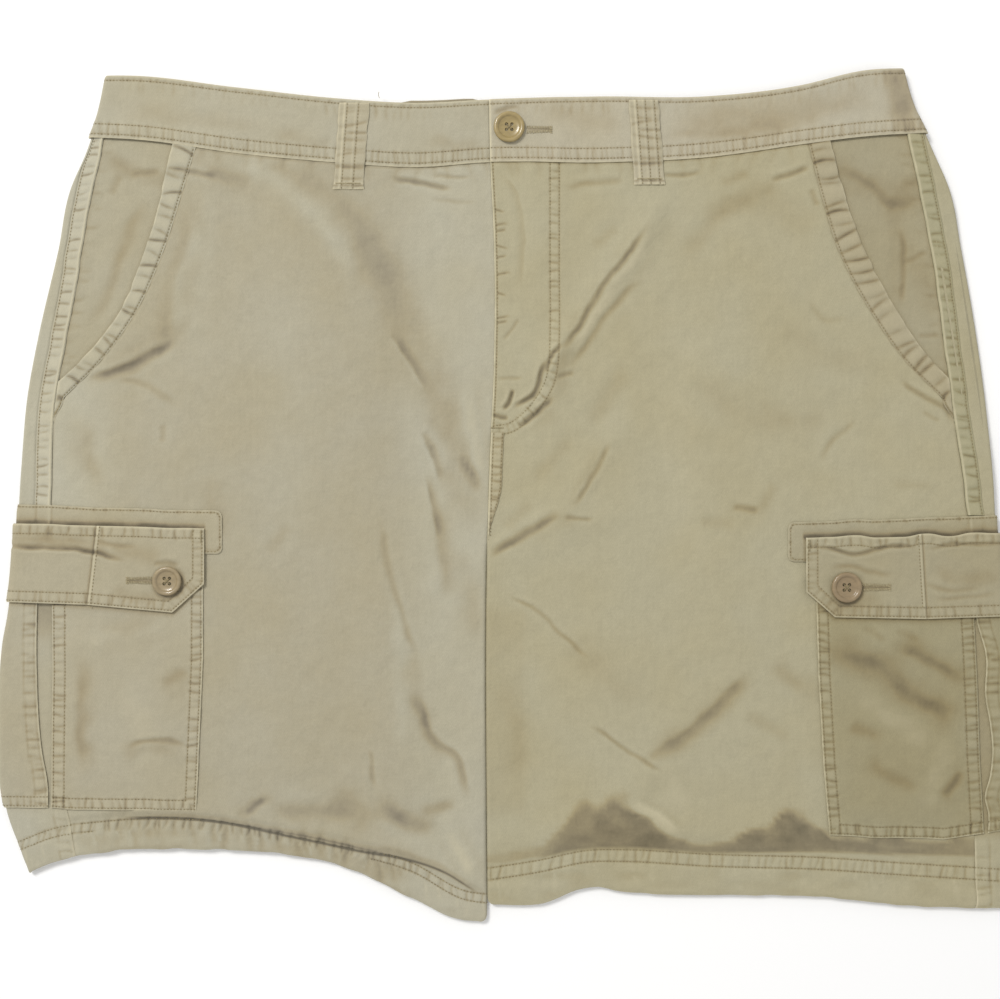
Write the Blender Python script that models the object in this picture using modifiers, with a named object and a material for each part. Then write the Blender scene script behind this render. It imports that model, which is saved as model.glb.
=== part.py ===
"""Cargo shorts laid flat on a table, front up, waist towards +Y.

Right and left are the wearer's: the right leg lies on the -X side.
Each leg is a flattened tube. The back panel lies on the table, turns round the outer fold
and meets the front panel at the side seam, so every piece on a leg is made from the points
of that tube, moved out by the plies under it. Sizes are in millimetres until a mesh is made.
"""

import functools
import math
from types import SimpleNamespace

import bmesh
import bpy
import numpy as np

MM = 0.001
CLOTH = 1.0            # one ply of cotton twill, as a wall
GAP = 0.3              # between the edges of two pieces at a seam
WAIST_GAP = 0.4        # the same at the curved waist seam
PLY_GAP = 0.5          # between a ply and the one that lies on it
PLY = CLOTH + PLY_GAP

# ---------------------------------------------------------------- the flat pattern

# How far the outer fold and the side seam lie from the middle, down the body.
RIGHT_SIDES = (  # height, outer fold, side seam
    (290, 250, 247),
    (245, 258, 252),
    (219, 266, 256),
    (194, 277, 262),
    (156, 285, 269),
    (105, 297, 278),
    (61, 305, 286),
    (16, 308, 288),
    (-22, 310, 288),
    (-60, 313, 287),
    (-98, 318, 285),
    (-155, 320, 282),
    (-200, 317, 278),
    (-225, 309, 274),
    (-260, 296, 270),
)
LEFT_SIDES = (  # height, outer fold, side seam
    (290, 247, 244),
    (245, 260, 251),
    (219, 271, 256),
    (194, 282, 262),
    (156, 290, 270),
    (105, 299, 277),
    (61, 305, 283),
    (16, 309, 289),
    (-22, 311, 293),
    (-60, 314, 294),
    (-98, 318, 295),
    (-155, 320, 296),
    (-200, 320, 297),
    (-225, 321, 298),
    (-270, 321, 299),
)
# The slanted front pocket: the row of stitching inside its mouth, and the mouth's edge.
RIGHT_MOUTH = (  # height, stitching, edge
    (225, 195, 211),
    (189, 206, 219),
    (153, 218, 230),
    (113, 237, 248),
    (85, 258, 271),
    (62, 281, 296),
)
LEFT_MOUTH = (  # height, stitching, edge
    (225, 191, 205),
    (189, 200, 215),
    (153, 212, 229),
    (113, 234, 251),
    (85, 254, 271),
    (62, 277, 294),
)
CENTRE = (  # height, where the two sides meet
    (270, -11),
    (210, -10),
    (170, -8),
    (75, -8),
    (23, -10.5),
    (-28, -12),
    (-280, -12),
)
WAIST = (  # across, waist seam, top edge
    (-275, 227, 266),
    (-232, 225, 266),
    (-173, 217, 259),
    (-109, 211, 252),
    (-57, 208, 249),
    (-11, 211, 251),
    (60, 211, 253),
    (125, 214, 253),
    (186, 222, 260),
    (227, 227, 269.5),
    (275, 230, 271),
)
RIGHT_HEM = (  # across, hem edge, stitching above it
    (-315, -246, -222),
    (-286, -233, -211),
    (-258, -227, -207),
    (-195, -225, -206),
    (-150, -227, -212),
    (-100, -237, -222),
    (-60, -256, -233),
    (-27, -270, -251),
    (-8, -271, -254),
)
LEFT_HEM = (  # across, hem edge, stitching above it
    (-12, -260, -237),
    (20, -260, -232),
    (55, -249, -225),
    (75, -252, -225),
    (130, -254, -228),
    (200, -255, -230),
    (245, -260, -233),
    (325, -263, -238),
)
# Rows that the panels share, so that pieces which lie on each other bend at the same heights.
ROWS = (190, 172, 153, 135, 113, 99, 85, 74, 62, 46, 27, 8)
ROWS += (-12, -32, -52, -76, -96, -118, -142, -166, -184, -196)
LEFT_LAST_ROW = -212

# ---------------------------------------------------------------- how high the cloth lies

FRONT_LEVELS_AT = (0, 60, 130, 200, 255, 325)
FRONT_LEVELS = (  # height, then the front's top at those distances from the middle
    (275, 6.4, 6.4, 6.4, 6.4, 6.4, 6.4),
    (212, 6.2, 6.3, 6.3, 6.3, 6.2, 6.1),
    (150, 4.8, 5.7, 5.7, 5.0, 4.3, 4.0),
    (62, 4.6, 5.6, 5.8, 5.2, 4.4, 4.2),
    (5, 4.4, 5.6, 5.7, 5.7, 6.3, 6.5),
    (-60, 4.1, 5.3, 5.6, 5.7, 6.3, 6.6),
    (-190, 4.1, 5.2, 5.4, 5.7, 6.3, 6.6),
    (-228, 4.0, 4.2, 4.4, 4.6, 4.8, 4.8),
    (-275, 3.8, 3.8, 3.8, 3.8, 3.8, 3.8),
)
# The largest folds that the cloth has settled into: a ridge stands up, a trough sinks.
FOLDS = (  # from across, height, to across, height, rise, half width
    (30, 88, 92, 176, 2.4, 10),
    (36, -10, 72, 38, 1.4, 10),
    (-8, -38, 58, -14, 1.2, 11),
    (18, 205, 20, 150, 0.8, 8),
    (-63, 124, -60, -3, -0.9, 20),
    (-80, -66, -66, -225, 1.5, 20),
    (-22, -170, -20, -232, 1.2, 10),
    (-262, 72, -210, 92, -0.8, 12),
    (-128, 172, -95, 60, 1.0, 24),
    (110, -150, 60, -215, 1.3, 14),
    (130, -60, 160, -190, 1.0, 22),
    (-150, -60, -140, -190, 0.9, 24),
    (120, 60, 170, -20, -0.8, 20),
)
# The cloth sags over the top of each hem in a soft roll.
HEM_ROLL = (  # across, rise
    (-300, 0.2),
    (-255, 1.2),
    (-190, 1.4),
    (-150, 0.9),
    (-80, 1.2),
    (-15, 0.7),
    (0, 0.7),
    (45, 2.2),
    (110, 2.4),
    (140, 1.3),
    (180, 2.0),
    (215, 0.9),
    (320, 0.2),
)
HEM_ROLL_ABOVE = 13
HEM_ROLL_REACH = 12
WAIST_LIFT = 3.0       # the back waist lies on its belt loops
WAIST_RAMP = (205, 165)
CARGO_LIFT = 3.2       # the back of each leg lies on the rear of its cargo pocket
CARGO_RAMP_IN = (245, 205)
CARGO_RAMP_TOP = (8, 46)
BACK_COLUMNS = CARGO_RAMP_IN + (150, 90, 40)
NOSE_ANGLES = (90, 54, 18, -18, -54, -90)
INSEAM_ANGLES = (90, 60, 36, 15)
INSEAM_FLAT = 3.0
CROTCH_RAMP = (-12, -52)
FLY_LIFT = 0.8         # the turned fly edge and the waistband's end lie over the other side
FLY_WIDTH = (30, 46)

# ---------------------------------------------------------------- pieces laid on the panels

BAND_PROUD = 0.8       # the waistband is two plies, and stands above the panels
BAND_CLOTH = 2.0
BEARER_UNDER = 14      # how far the pocket's bearer runs under the front panel
MOUTH_RAMP = (20, 52)
MOUTH_PROUD = 0.5
MOUTH_CLOTH = 1.6
MOUTH_CORNER = 62      # where the mouth's stitching turns in to the side seam
MOUTH_END = 53
MOUTH_FOOT = 60        # below this the front panel reaches the side seam itself
PUCKER_PITCH = 9.0
PUCKER_RISE = 0.7
SEAM_STRIP = 10.5      # the felled side seam
LOOP_WIDTH = 19
LOOP_CLOTH = 1.6
LOOP_BELOW_TOP = 5
FRONT_LOOPS = {"right": (-96, -100, 194), "left": (87, 91, 197)}  # across at top, at foot, height of foot
BACK_LOOPS = {"back_middle": -10, "back_right": -165, "back_left": 150}
BACK_LOOP_FOOT = 196

RIGHT_CARGO = SimpleNamespace(
    patch_front=180, patch_top=((-325, -5), (-180, -10)), patch_foot=-37,
    flap_front=191, flap_top=((-325, -17), (-191, -21)), flap_seam=((-19, 259), (-70, 265)),
    flap_foot=((-325, -67), (-265, -69), (-211, -74), (-191, -56)),
    front=((-38, 192), (-104, 192), (-199, 196)),
    foot=((-325, -197), (-257, -199), (-196, -200)),
    slit_in=((-38, 288), (-110, 287), (-200, 288)),
    slit_out=((-38, 296), (-110, 297), (-160, 294), (-186, 290), (-200, 290)),
)
LEFT_CARGO = SimpleNamespace(
    patch_front=179, patch_top=((179, -17), (325, -12)), patch_foot=-42,
    flap_front=190, flap_top=((190, -27), (325, -24)), flap_seam=((-26, 263), (-78, 266)),
    flap_foot=((190, -61), (208, -77), (265, -78), (325, -76)),
    front=((-43, 196), (-115, 198), (-169, 201), (-216, 205)),
    foot=((205, -215), (232, -217), (277, -218), (325, -211)),
    slit_in=((-43, 295), (-115, 298), (-169, 300), (-216, 303)),
    slit_out=((-43, 298.5), (-104, 304), (-154, 308), (-186, 304.5), (-216, 305)),
)
CARGO_BACK = 62        # how far the pocket runs round the fold onto the back
FLAP_PLY = 2 * PLY     # the flap lies on the pocket
FLAP_CURL = 0.5
POCKET_PUFF = 1.3
POCKET_SEWN = 12       # the puff fades out this near the sewn edges
REST_OUT = 3.2         # the pocket's rear sags down to the table

BUTTONS = {  # across, height, radius
    "button_waist": (2, 233, 9.8),
    "button_cargo_right": (-214, -54, 9.2),
    "button_cargo_left": (215, -58, 9.4),
}
BUTTON_RIM = 2.6
BUTTON_DISH = 0.8
BUTTON_HOLE = 1.0
BUTTON_HOLE_OUT = 2.4

TWILL = (0.472, 0.428, 0.305)
TWILL_SHADE = (0.400, 0.355, 0.245)
TWILL_WORN = (0.560, 0.515, 0.385)
BUTTON_HORN = (0.330, 0.260, 0.150)


# ---------------------------------------------------------------- curves through the tables

def curve(xs, ys):
    """A smooth curve through points, as a function of the first numbers."""
    order = np.argsort(xs)
    x = np.array(xs, float)[order]
    y = np.array(ys, float)[order]
    slope = np.gradient(y, x)

    def read(at):
        i = int(min(max(np.searchsorted(x, at) - 1, 0), len(x) - 2))
        width = x[i + 1] - x[i]
        t = min(max((at - x[i]) / width, 0.0), 1.0)
        start = (1 + 2 * t) * (1 - t) ** 2 * y[i] + t * (1 - t) ** 2 * width * slope[i]
        end = t * t * (3 - 2 * t) * y[i + 1] + t * t * (t - 1) * width * slope[i + 1]
        return float(start + end)

    return read


def column_curve(table, column):
    """A smooth curve through one column of a table, over its first column."""
    return curve([row[0] for row in table], [row[column] for row in table])


def straight(table, at):
    """The second column over the first, with straight runs between rows."""
    rows = sorted(table)
    return float(np.interp(at, [row[0] for row in rows], [row[1] for row in rows]))


def ramp(value, none, full):
    """0 at none, 1 at full, straight in between and level outside."""
    return min(max((value - none) / (full - none), 0.0), 1.0)


def soften(share):
    return share * share * (3 - 2 * share)


def on_rows(read, rows):
    """A line down the body that bends only at the shared rows."""
    knots = [-knot for knot in (290, 245) + rows + (-226, -270)]
    places = [read(-knot) for knot in knots]
    return lambda y: float(np.interp(-y, knots, places))


centre = column_curve(CENTRE, 1)
waist_seam = column_curve(WAIST, 1)
waist_top = column_curve(WAIST, 2)
hem_roll = column_curve(HEM_ROLL, 1)
level_columns = [column_curve(FRONT_LEVELS, i + 1) for i in range(len(FRONT_LEVELS_AT))]


def make_side(name, sign, sides, mouth, hem, rows, cargo):
    """One leg: its lines as functions of height, and its rows from waist to hem."""
    side = SimpleNamespace(name=name, sign=sign, rows=rows, cargo=cargo)
    seam = column_curve(sides, 2)
    stitch = column_curve(mouth, 1)
    side.fold = on_rows(column_curve(sides, 1), rows)
    side.seam = on_rows(seam, rows)
    side.mouth = on_rows(column_curve(mouth, 2), rows)
    side.mouth_stitch = on_rows(lambda y: min(stitch(y), seam(y)) if y > MOUTH_FOOT else seam(y), rows)
    side.hem_edge = column_curve(hem, 1)
    side.hem_stitch = column_curve(hem, 2)
    return side


RIGHT = make_side("right", -1, RIGHT_SIDES, RIGHT_MOUTH, RIGHT_HEM, ROWS, RIGHT_CARGO)
LEFT = make_side("left", 1, LEFT_SIDES, LEFT_MOUTH, LEFT_HEM, ROWS + (LEFT_LAST_ROW,), LEFT_CARGO)


def fold_rise(x, y):
    """How far the settled folds raise the cloth at a place."""
    rise = 0.0
    for ax, ay, bx, by, height, width in FOLDS:
        length = math.hypot(bx - ax, by - ay)
        ux = (bx - ax) / length
        uy = (by - ay) / length
        run = (x - ax) * ux + (y - ay) * uy
        off = (y - ay) * ux - (x - ax) * uy
        beyond = max(-run, 0.0, run - length)
        rise += height * math.exp(-(off / width) ** 2 - (beyond / (1.5 * width)) ** 2)
    return rise


@functools.lru_cache(maxsize=None)
def level_across(y):
    return curve(FRONT_LEVELS_AT, [column(y) for column in level_columns])


def front_level(side, x, y):
    """Height of the front's outer face above the table."""
    level = level_across(y)(min(abs(x), FRONT_LEVELS_AT[-1])) + fold_rise(x, y)
    above = y - side.hem_stitch(x)
    if above > 0:
        level += hem_roll(x) * math.exp(-((above - HEM_ROLL_ABOVE) / HEM_ROLL_REACH) ** 2)
    return level


def back_level(side, x, y):
    """Height of the back's outer face: on the table, or on what lies under it."""
    waist = WAIST_LIFT * ramp(y, WAIST_RAMP[1], WAIST_RAMP[0])
    inward = ramp(abs(x), CARGO_RAMP_IN[1], CARGO_RAMP_IN[0])
    down = ramp(y, CARGO_RAMP_TOP[1], CARGO_RAMP_TOP[0])
    last = side.rows[-1] - 8
    up = ramp(y, last - 22, last)
    return max(waist, CARGO_LIFT * inward * min(down, up))


# ---------------------------------------------------------------- rows and columns of points

def settle(across, row):
    """The point where a column crosses a row, when each depends on the other."""
    y = row(across(0.0))
    for _ in range(6):
        y = row(across(y))
    return across(y), y


def level_row(y):
    return lambda x: y


def panel_rows(side):
    """A leg's rows: the waist seam, the straight rows, then the roll and the hem."""
    last = side.rows[-1]
    rows = [lambda x: waist_seam(x) - WAIST_GAP / 2]
    rows += [level_row(y) for y in side.rows]
    rows.append(lambda x: (last + side.hem_stitch(x) + 5) / 2)
    rows.append(lambda x: side.hem_stitch(x) + 3)
    rows.append(lambda x: side.hem_stitch(x) - 2)
    rows.append(lambda x: (side.hem_stitch(x) + side.hem_edge(x)) / 2)
    rows.append(lambda x: side.hem_edge(x))
    return rows


def strip_rows(side, top, foot):
    """Rows for a piece between two edges, with the shared rows that fall inside it."""
    inside = [y for y in side.rows if foot(0) + 4 < y < top(0) - 4]
    return [top] + [level_row(y) for y in inside] + [foot]


def nose(side, y, angle, out):
    """A point on the outer fold, moved out."""
    fold = side.fold(y)
    top = front_level(side, side.sign * fold, y)
    foot = back_level(side, side.sign * fold, y)
    radius = (top - foot) / 2
    turn = math.radians(angle)
    across = fold - radius + (radius + out) * math.cos(turn)
    return side.sign * across, (top + foot) / 2 + (radius + out) * math.sin(turn)


def nose_start(side, y):
    fold = side.fold(y)
    x = side.sign * fold
    return fold - (front_level(side, x, y) - back_level(side, x, y)) / 2


def front_grid(side, rows, inner, outer, columns, out):
    """Points on the front between two lines, given as distances from the middle."""
    grid = []
    for row in rows:
        line = []
        for i in range(columns + 1):
            share = i / columns

            def across(y, share=share):
                return side.sign * (inner(y) + share * (outer(y) - inner(y)))

            x, y = settle(across, row)
            line.append((x, y, front_level(side, x, y) + out(x, y)))
        grid.append(line)
    return grid


def wrapped_grid(side, rows, start, back_columns, out, front_steps):
    """Points from a line on the front, round the outer fold, to columns on the back."""
    grid = []
    for row in rows:
        line = []
        for i in range(front_steps):
            share = i / front_steps

            def across(y, share=share):
                return side.sign * (start(y) + share * (nose_start(side, y) - start(y)))

            x, y = settle(across, row)
            line.append((x, y, front_level(side, x, y) + out(x, y, 90)))
        for angle in NOSE_ANGLES:
            x, y = settle(lambda y: side.sign * side.fold(y), row)
            x, z = nose(side, y, angle, out(x, y, angle))
            line.append((x, y, z))
        for column in back_columns:
            x, y = settle(lambda y: side.sign * column(y), row)
            line.append((x, y, back_level(side, x, y) - out(x, y, -90)))
        grid.append(line)
    return grid


# ---------------------------------------------------------------- meshes and finishes

for old in list(bpy.data.objects):
    bpy.data.objects.remove(old)

shorts = bpy.data.collections.new("cargo_shorts")
cutters = bpy.data.collections.new("cutters")
bpy.context.scene.collection.children.link(shorts)
bpy.context.scene.collection.children.link(cutters)


def finish(name, colour, roughness):
    material = bpy.data.materials.new(name)
    material.use_nodes = True
    shader = material.node_tree.nodes["Principled BSDF"]
    shader.inputs["Base Color"].default_value = (*colour, 1)
    shader.inputs["Roughness"].default_value = roughness
    shader.inputs["Metallic"].default_value = 0.0
    return material


def sheet(name, grid, cloth, colour=TWILL, up=True):
    """A cloth piece: the outer face as rows of points, thickened inwards."""
    wide = len(grid[0])
    points = [[c * MM for c in point] for line in grid for point in line]
    faces = []
    for r in range(len(grid) - 1):
        for c in range(wide - 1):
            a = r * wide + c
            faces.append((a, a + 1, a + wide + 1, a + wide))
    mesh = bpy.data.meshes.new(name)
    mesh.from_pydata(points, [], faces)
    mesh.update()
    if (mesh.polygons[0].normal.z > 0) != up:
        mesh.flip_normals()
    piece = bpy.data.objects.new(name, mesh)
    shorts.objects.link(piece)
    mesh.materials.append(finish(name + "_twill", colour, 0.9))
    wall = piece.modifiers.new("cloth", "SOLIDIFY")
    wall.thickness = cloth * MM
    wall.offset = -1
    wall.use_even_offset = True
    return piece


# ---------------------------------------------------------------- the leg panels

def inseam_x(side, y, angle, facing):
    """The inner end of a panel: level above the crotch, rounded over the inseam below it."""
    edge = centre(y) + side.sign * GAP / 2
    top = front_level(side, edge, y)
    foot = back_level(side, edge, y)
    radius = (top - foot) / 2
    turn = math.radians(angle)
    share = (90 - angle) / (90 - INSEAM_ANGLES[-1])
    flat_x = edge + side.sign * INSEAM_FLAT * (1 - share)
    flat_z = top if facing > 0 else foot
    round_x = edge + side.sign * radius * (1 - math.cos(turn))
    round_z = (top + foot) / 2 + facing * radius * math.sin(turn)
    below = soften(ramp(y, *CROTCH_RAMP))
    return flat_x + below * (round_x - flat_x), flat_z + below * (round_z - flat_z)


def inner_start(side, y):
    """Where the level part of a panel ends, signed outwards from the middle."""
    return side.sign * inseam_x(side, y, 90, 1)[0]


def mouth_lift(side, x, y):
    """The front panel lies on the pocket's bearer near the mouth."""
    inside = side.mouth(y) - abs(x)
    return PLY * soften(ramp(inside, MOUTH_RAMP[1], MOUTH_RAMP[0])) * soften(ramp(y, 30, 60))


def fly_lift(side, x, y):
    if side is RIGHT:
        return 0.0
    return FLY_LIFT * soften(ramp(x, FLY_WIDTH[1], FLY_WIDTH[0])) * soften(ramp(y, -20, 50))


def front_out(side):
    return lambda x, y: mouth_lift(side, x, y) + fly_lift(side, x, y)


def front_panel(side):
    rows = panel_rows(side)
    out = front_out(side)
    level = front_grid(
        side, rows, lambda y: inner_start(side, y), lambda y: side.mouth_stitch(y) - GAP / 2, 12, out
    )
    grid = []
    for row, line in zip(rows, level):
        rounded = []
        for angle in reversed(INSEAM_ANGLES[1:]):
            x, y = settle(lambda y: inseam_x(side, y, angle, 1)[0], row)
            rounded.append((x, y, inseam_x(side, y, angle, 1)[1] + fly_lift(side, x, y)))
        grid.append(rounded + line)
    sheet("front_" + side.name, grid, CLOTH)


def back_panel(side):
    rows = panel_rows(side)
    columns = [lambda y, stop=stop: stop for stop in BACK_COLUMNS]
    columns.append(lambda y: inner_start(side, y))
    body = wrapped_grid(side, rows, lambda y: side.seam(y) + GAP / 2, columns, lambda x, y, angle: 0.0, 2)
    grid = []
    for row, line in zip(rows, body):
        rounded = []
        for angle in INSEAM_ANGLES[1:]:
            x, y = settle(lambda y: inseam_x(side, y, angle, -1)[0], row)
            rounded.append((x, y, inseam_x(side, y, angle, -1)[1]))
        grid.append(line + rounded)
    sheet("back_" + side.name, grid, CLOTH)


# ---------------------------------------------------------------- slanted pockets and side seams

def pocket_bearer(side):
    """The cloth seen inside the slanted mouth, running on under the front panel."""
    rows = [lambda x: waist_seam(x) - WAIST_GAP / 2]
    rows += [level_row(y) for y in side.rows if y >= side.rows[7]]
    grid = front_grid(
        side, rows, lambda y: side.mouth(y) - BEARER_UNDER, lambda y: side.seam(y) - GAP / 2, 4,
        lambda x, y: 0.0,
    )
    sheet("pocket_bearer_" + side.name, grid, CLOTH, TWILL_SHADE)


def pucker(distance, phase):
    """Small gathers along a double row of stitching, uneven in pitch and height."""
    wave = math.sin(2 * math.pi * distance / PUCKER_PITCH + 1.3 * math.sin(0.11 * distance + phase))
    return PUCKER_RISE * wave * (0.65 + 0.35 * math.sin(0.23 * distance + 2 * phase))


def pocket_mouth(side):
    """The turned, double-stitched edge of the slanted mouth, drawn up into small gathers."""
    top = min(waist_seam(side.sign * side.mouth(215)), waist_seam(side.sign * side.mouth_stitch(215))) - GAP
    count = round((top - MOUTH_CORNER) / (PUCKER_PITCH / 2))
    heights = [top + (MOUTH_CORNER - top) * i / count for i in range(count + 1)]
    rows = [level_row(y) for y in heights + [MOUTH_END]]

    def out(x, y):
        gather = max(pucker(y, side.sign), -0.1) * ramp(y, MOUTH_END, MOUTH_END + 12)
        return mouth_lift(side, x, y) + MOUTH_PROUD + gather

    grid = front_grid(
        side, rows, lambda y: side.mouth_stitch(y) + GAP / 2,
        lambda y: min(side.mouth(y), side.seam(y) - GAP), 2, out,
    )
    sheet("pocket_mouth_" + side.name, grid, MOUTH_CLOTH, TWILL_WORN)


def side_seam(side):
    """The felled side seam, from the waist down to the cargo pocket."""
    top = waist_seam(side.sign * side.seam(215)) - 2
    foot = straight(side.cargo.patch_top, side.sign * side.seam(0)) + 2
    count = int((top - foot) / (PUCKER_PITCH / 2))
    rows = [level_row(top + (foot - top) * i / count) for i in range(count + 1)]

    def outer(y):
        return side.seam(y) + min(SEAM_STRIP, nose_start(side, y) - side.seam(y) - GAP)

    def out(x, y):
        return PLY + max(pucker(y, 2 + side.sign), -0.1)

    grid = front_grid(side, rows, lambda y: side.seam(y) + GAP, outer, 2, out)
    sheet("side_seam_" + side.name, grid, CLOTH, TWILL_WORN)


def crotch_seam():
    """The felled seam from the foot of the fly down to the crotch."""
    heights = (46, 27, 8, -10)
    rows = [level_row(y) for y in heights]
    grid = front_grid(
        LEFT, rows, lambda y: centre(y) + 0.5, lambda y: centre(y) + 3 + 5.5 * ramp(y, -10, 46), 1,
        lambda x, y: PLY + fly_lift(LEFT, x, y),
    )
    sheet("crotch_seam", grid, CLOTH, TWILL_WORN)


# ---------------------------------------------------------------- waistband and belt loops

def band_row(share):
    return lambda x: waist_seam(x) + WAIST_GAP / 2 + share * (waist_top(x) - waist_seam(x) - WAIST_GAP / 2)


def waistband(side):
    """Half the waistband, from the front closing round the side to the middle of the back."""
    def out(x, y, angle=90):
        return BAND_PROUD + (fly_lift(side, x, 232) if angle == 90 else 0.0)

    rows = [band_row(share) for share in (0, 0.3, 0.7, 1)]
    columns = [lambda y, stop=stop: stop for stop in BACK_COLUMNS]
    columns.append(lambda y: side.sign * centre(y) + GAP / 2)
    grid = wrapped_grid(side, rows, lambda y: side.sign * centre(y) + GAP / 2, columns, out, 11)
    sheet("waistband_" + side.name, grid, BAND_CLOTH)


def front_loop(side):
    """A loop on the front, over the waistband and down onto the panel."""
    top_x, foot_x, foot_y = FRONT_LOOPS[side.name]
    top_y = waist_top(top_x) - LOOP_BELOW_TOP
    seam = waist_seam(top_x)
    grid = []
    for y in (top_y, (top_y + seam) / 2, seam + 4, seam - 4, foot_y):
        middle = foot_x + (top_x - foot_x) * (y - foot_y) / (top_y - foot_y)
        proud = BAND_PROUD if y > seam else 0.0
        line = []
        for share in (-0.5, 0.0, 0.5):
            x = middle + share * LOOP_WIDTH
            line.append((x, y, front_level(side, x, y) + proud + PLY_GAP + LOOP_CLOTH))
        grid.append(line)
    sheet("belt_loop_front_" + side.name, grid, LOOP_CLOTH, TWILL_WORN)


def back_loop(name, x):
    """A loop on the back lies flat between the waistband and the table."""
    top_y = waist_top(x) - LOOP_BELOW_TOP
    heights = (top_y, (top_y + BACK_LOOP_FOOT) / 2, BACK_LOOP_FOOT)
    grid = [[(x + share * LOOP_WIDTH, y, 0.0) for share in (-0.5, 0.5)] for y in heights]
    sheet("belt_loop_" + name, grid, LOOP_CLOTH, TWILL_WORN, up=False)


# ---------------------------------------------------------------- cargo pockets

def edge(table):
    """An edge of a cargo piece: a row over the place across, or a distance from the middle over the height."""
    return lambda at: straight(table, at)


def back_reach(side, share):
    return lambda y: nose_start(side, y) - share * CARGO_BACK


def cargo_patch(side):
    """The stitched-down strip that the flap hangs from."""
    cargo = side.cargo
    middle = (cargo.patch_top[0][1] + cargo.patch_foot) / 2
    rows = [edge(cargo.patch_top), level_row(middle), level_row(cargo.patch_foot)]
    grid = wrapped_grid(
        side, rows, lambda y: cargo.patch_front, [back_reach(side, 0.5), back_reach(side, 1)],
        lambda x, y, angle: PLY, 6,
    )
    sheet("cargo_patch_" + side.name, grid, CLOTH)


def flap_curl(y):
    """The flap lifts a little towards its free edge."""
    return FLAP_CURL * soften(ramp(y, -50, -75))


def cargo_flap(side):
    """The flap: a buttoned front piece, seamed to a rear piece that goes round the side."""
    cargo = side.cargo
    top = edge(cargo.flap_top)
    foot = edge(cargo.flap_foot)
    seam = edge(cargo.flap_seam)

    def flap_row(share):
        return lambda x: top(x) + share * (foot(x) - top(x))

    rows = [flap_row(share) for share in (0, 0.25, 0.5, 0.75, 1)]
    front = front_grid(
        side, rows, lambda y: cargo.flap_front, lambda y: seam(y) - GAP / 2, 6,
        lambda x, y: FLAP_PLY + flap_curl(y),
    )
    sheet("cargo_flap_front_" + side.name, front, CLOTH)
    rear = wrapped_grid(
        side, rows, lambda y: seam(y) + GAP / 2, [back_reach(side, 0.5), back_reach(side, 1)],
        lambda x, y, angle: FLAP_PLY + flap_curl(y) * (angle == 90), 3,
    )
    sheet("cargo_flap_rear_" + side.name, rear, CLOTH)


def cargo_pocket(side):
    """The pocket: a front piece and a rear piece, with a slit between them over the side seam."""
    cargo = side.cargo
    foot = edge(cargo.foot)
    slit_in = edge(cargo.slit_in)
    slit_out = edge(cargo.slit_out)
    front_edge = edge(cargo.front)
    rows = strip_rows(side, level_row(cargo.patch_foot - 1), foot)

    middle_foot = foot(side.sign * 260)

    def free(y):
        return soften(ramp(y, -76, -96)) * soften(ramp(y, middle_foot, middle_foot + 2 * POCKET_SEWN))

    def puffed(x, y):
        inside = min(abs(x) - front_edge(y), slit_in(y) - abs(x) + POCKET_SEWN / 2)
        return PLY + POCKET_PUFF * free(y) * soften(ramp(inside, 0, 2 * POCKET_SEWN))

    def rear_out(x, y, angle):
        sag = (REST_OUT - PLY) * free(y)
        return PLY + sag * (90 - angle) / 180

    fore = front_grid(side, rows, front_edge, slit_in, 8, puffed)
    sheet("cargo_pocket_front_" + side.name, fore, CLOTH)
    rear = wrapped_grid(side, rows, slit_out, [back_reach(side, 0.5), back_reach(side, 1)], rear_out, 2)
    sheet("cargo_pocket_rear_" + side.name, rear, CLOTH)


# ---------------------------------------------------------------- buttons

def button(name, x, y, radius, z):
    """A turned four-hole button with a raised rim."""
    profile = (
        (0, 0), (0.72, 0), (1, 0.35), (1, 0.8), (0.94, 1), (0.8, 1), (0.68, BUTTON_DISH), (0, BUTTON_DISH),
    )
    mesh = bpy.data.meshes.new(name)
    points = [(across * radius * MM, 0, up * BUTTON_RIM * MM) for across, up in profile]
    mesh.from_pydata(points, [(i, i + 1) for i in range(len(points) - 1)], [])
    piece = bpy.data.objects.new(name, mesh)
    shorts.objects.link(piece)
    piece.location = (x * MM, y * MM, z * MM)
    mesh.materials.append(finish(name + "_horn", BUTTON_HORN, 0.35))
    turn = piece.modifiers.new("turn", "SCREW")
    turn.steps = turn.render_steps = 20
    turn.use_merge_vertices = True
    turn.merge_threshold = 0.00005
    turn.use_normal_flip = True
    for i in range(4):
        angle = math.radians(45 + 90 * i)
        drill = bpy.data.meshes.new(f"{name}_drill_{i}")
        shape = bmesh.new()
        bmesh.ops.create_cone(
            shape, cap_ends=True, segments=6, radius1=BUTTON_HOLE * MM, radius2=BUTTON_HOLE * MM,
            depth=4 * BUTTON_RIM * MM,
        )
        shape.to_mesh(drill)
        shape.free()
        cutter = bpy.data.objects.new(drill.name, drill)
        cutters.objects.link(cutter)
        hole_x = x + BUTTON_HOLE_OUT * math.cos(angle)
        hole_y = y + BUTTON_HOLE_OUT * math.sin(angle)
        cutter.location = (hole_x * MM, hole_y * MM, z * MM)
        cutter.hide_render = True
        cutter.display_type = "WIRE"
        hole = piece.modifiers.new(f"hole {i}", "BOOLEAN")
        hole.operation = "DIFFERENCE"
        hole.object = cutter


# ---------------------------------------------------------------- sewing it together

for leg in (RIGHT, LEFT):
    front_panel(leg)
    back_panel(leg)
    pocket_bearer(leg)
    pocket_mouth(leg)
    side_seam(leg)
    waistband(leg)
    front_loop(leg)
    cargo_patch(leg)
    cargo_flap(leg)
    cargo_pocket(leg)
crotch_seam()
for loop_name, loop_x in BACK_LOOPS.items():
    back_loop(loop_name, loop_x)

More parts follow.
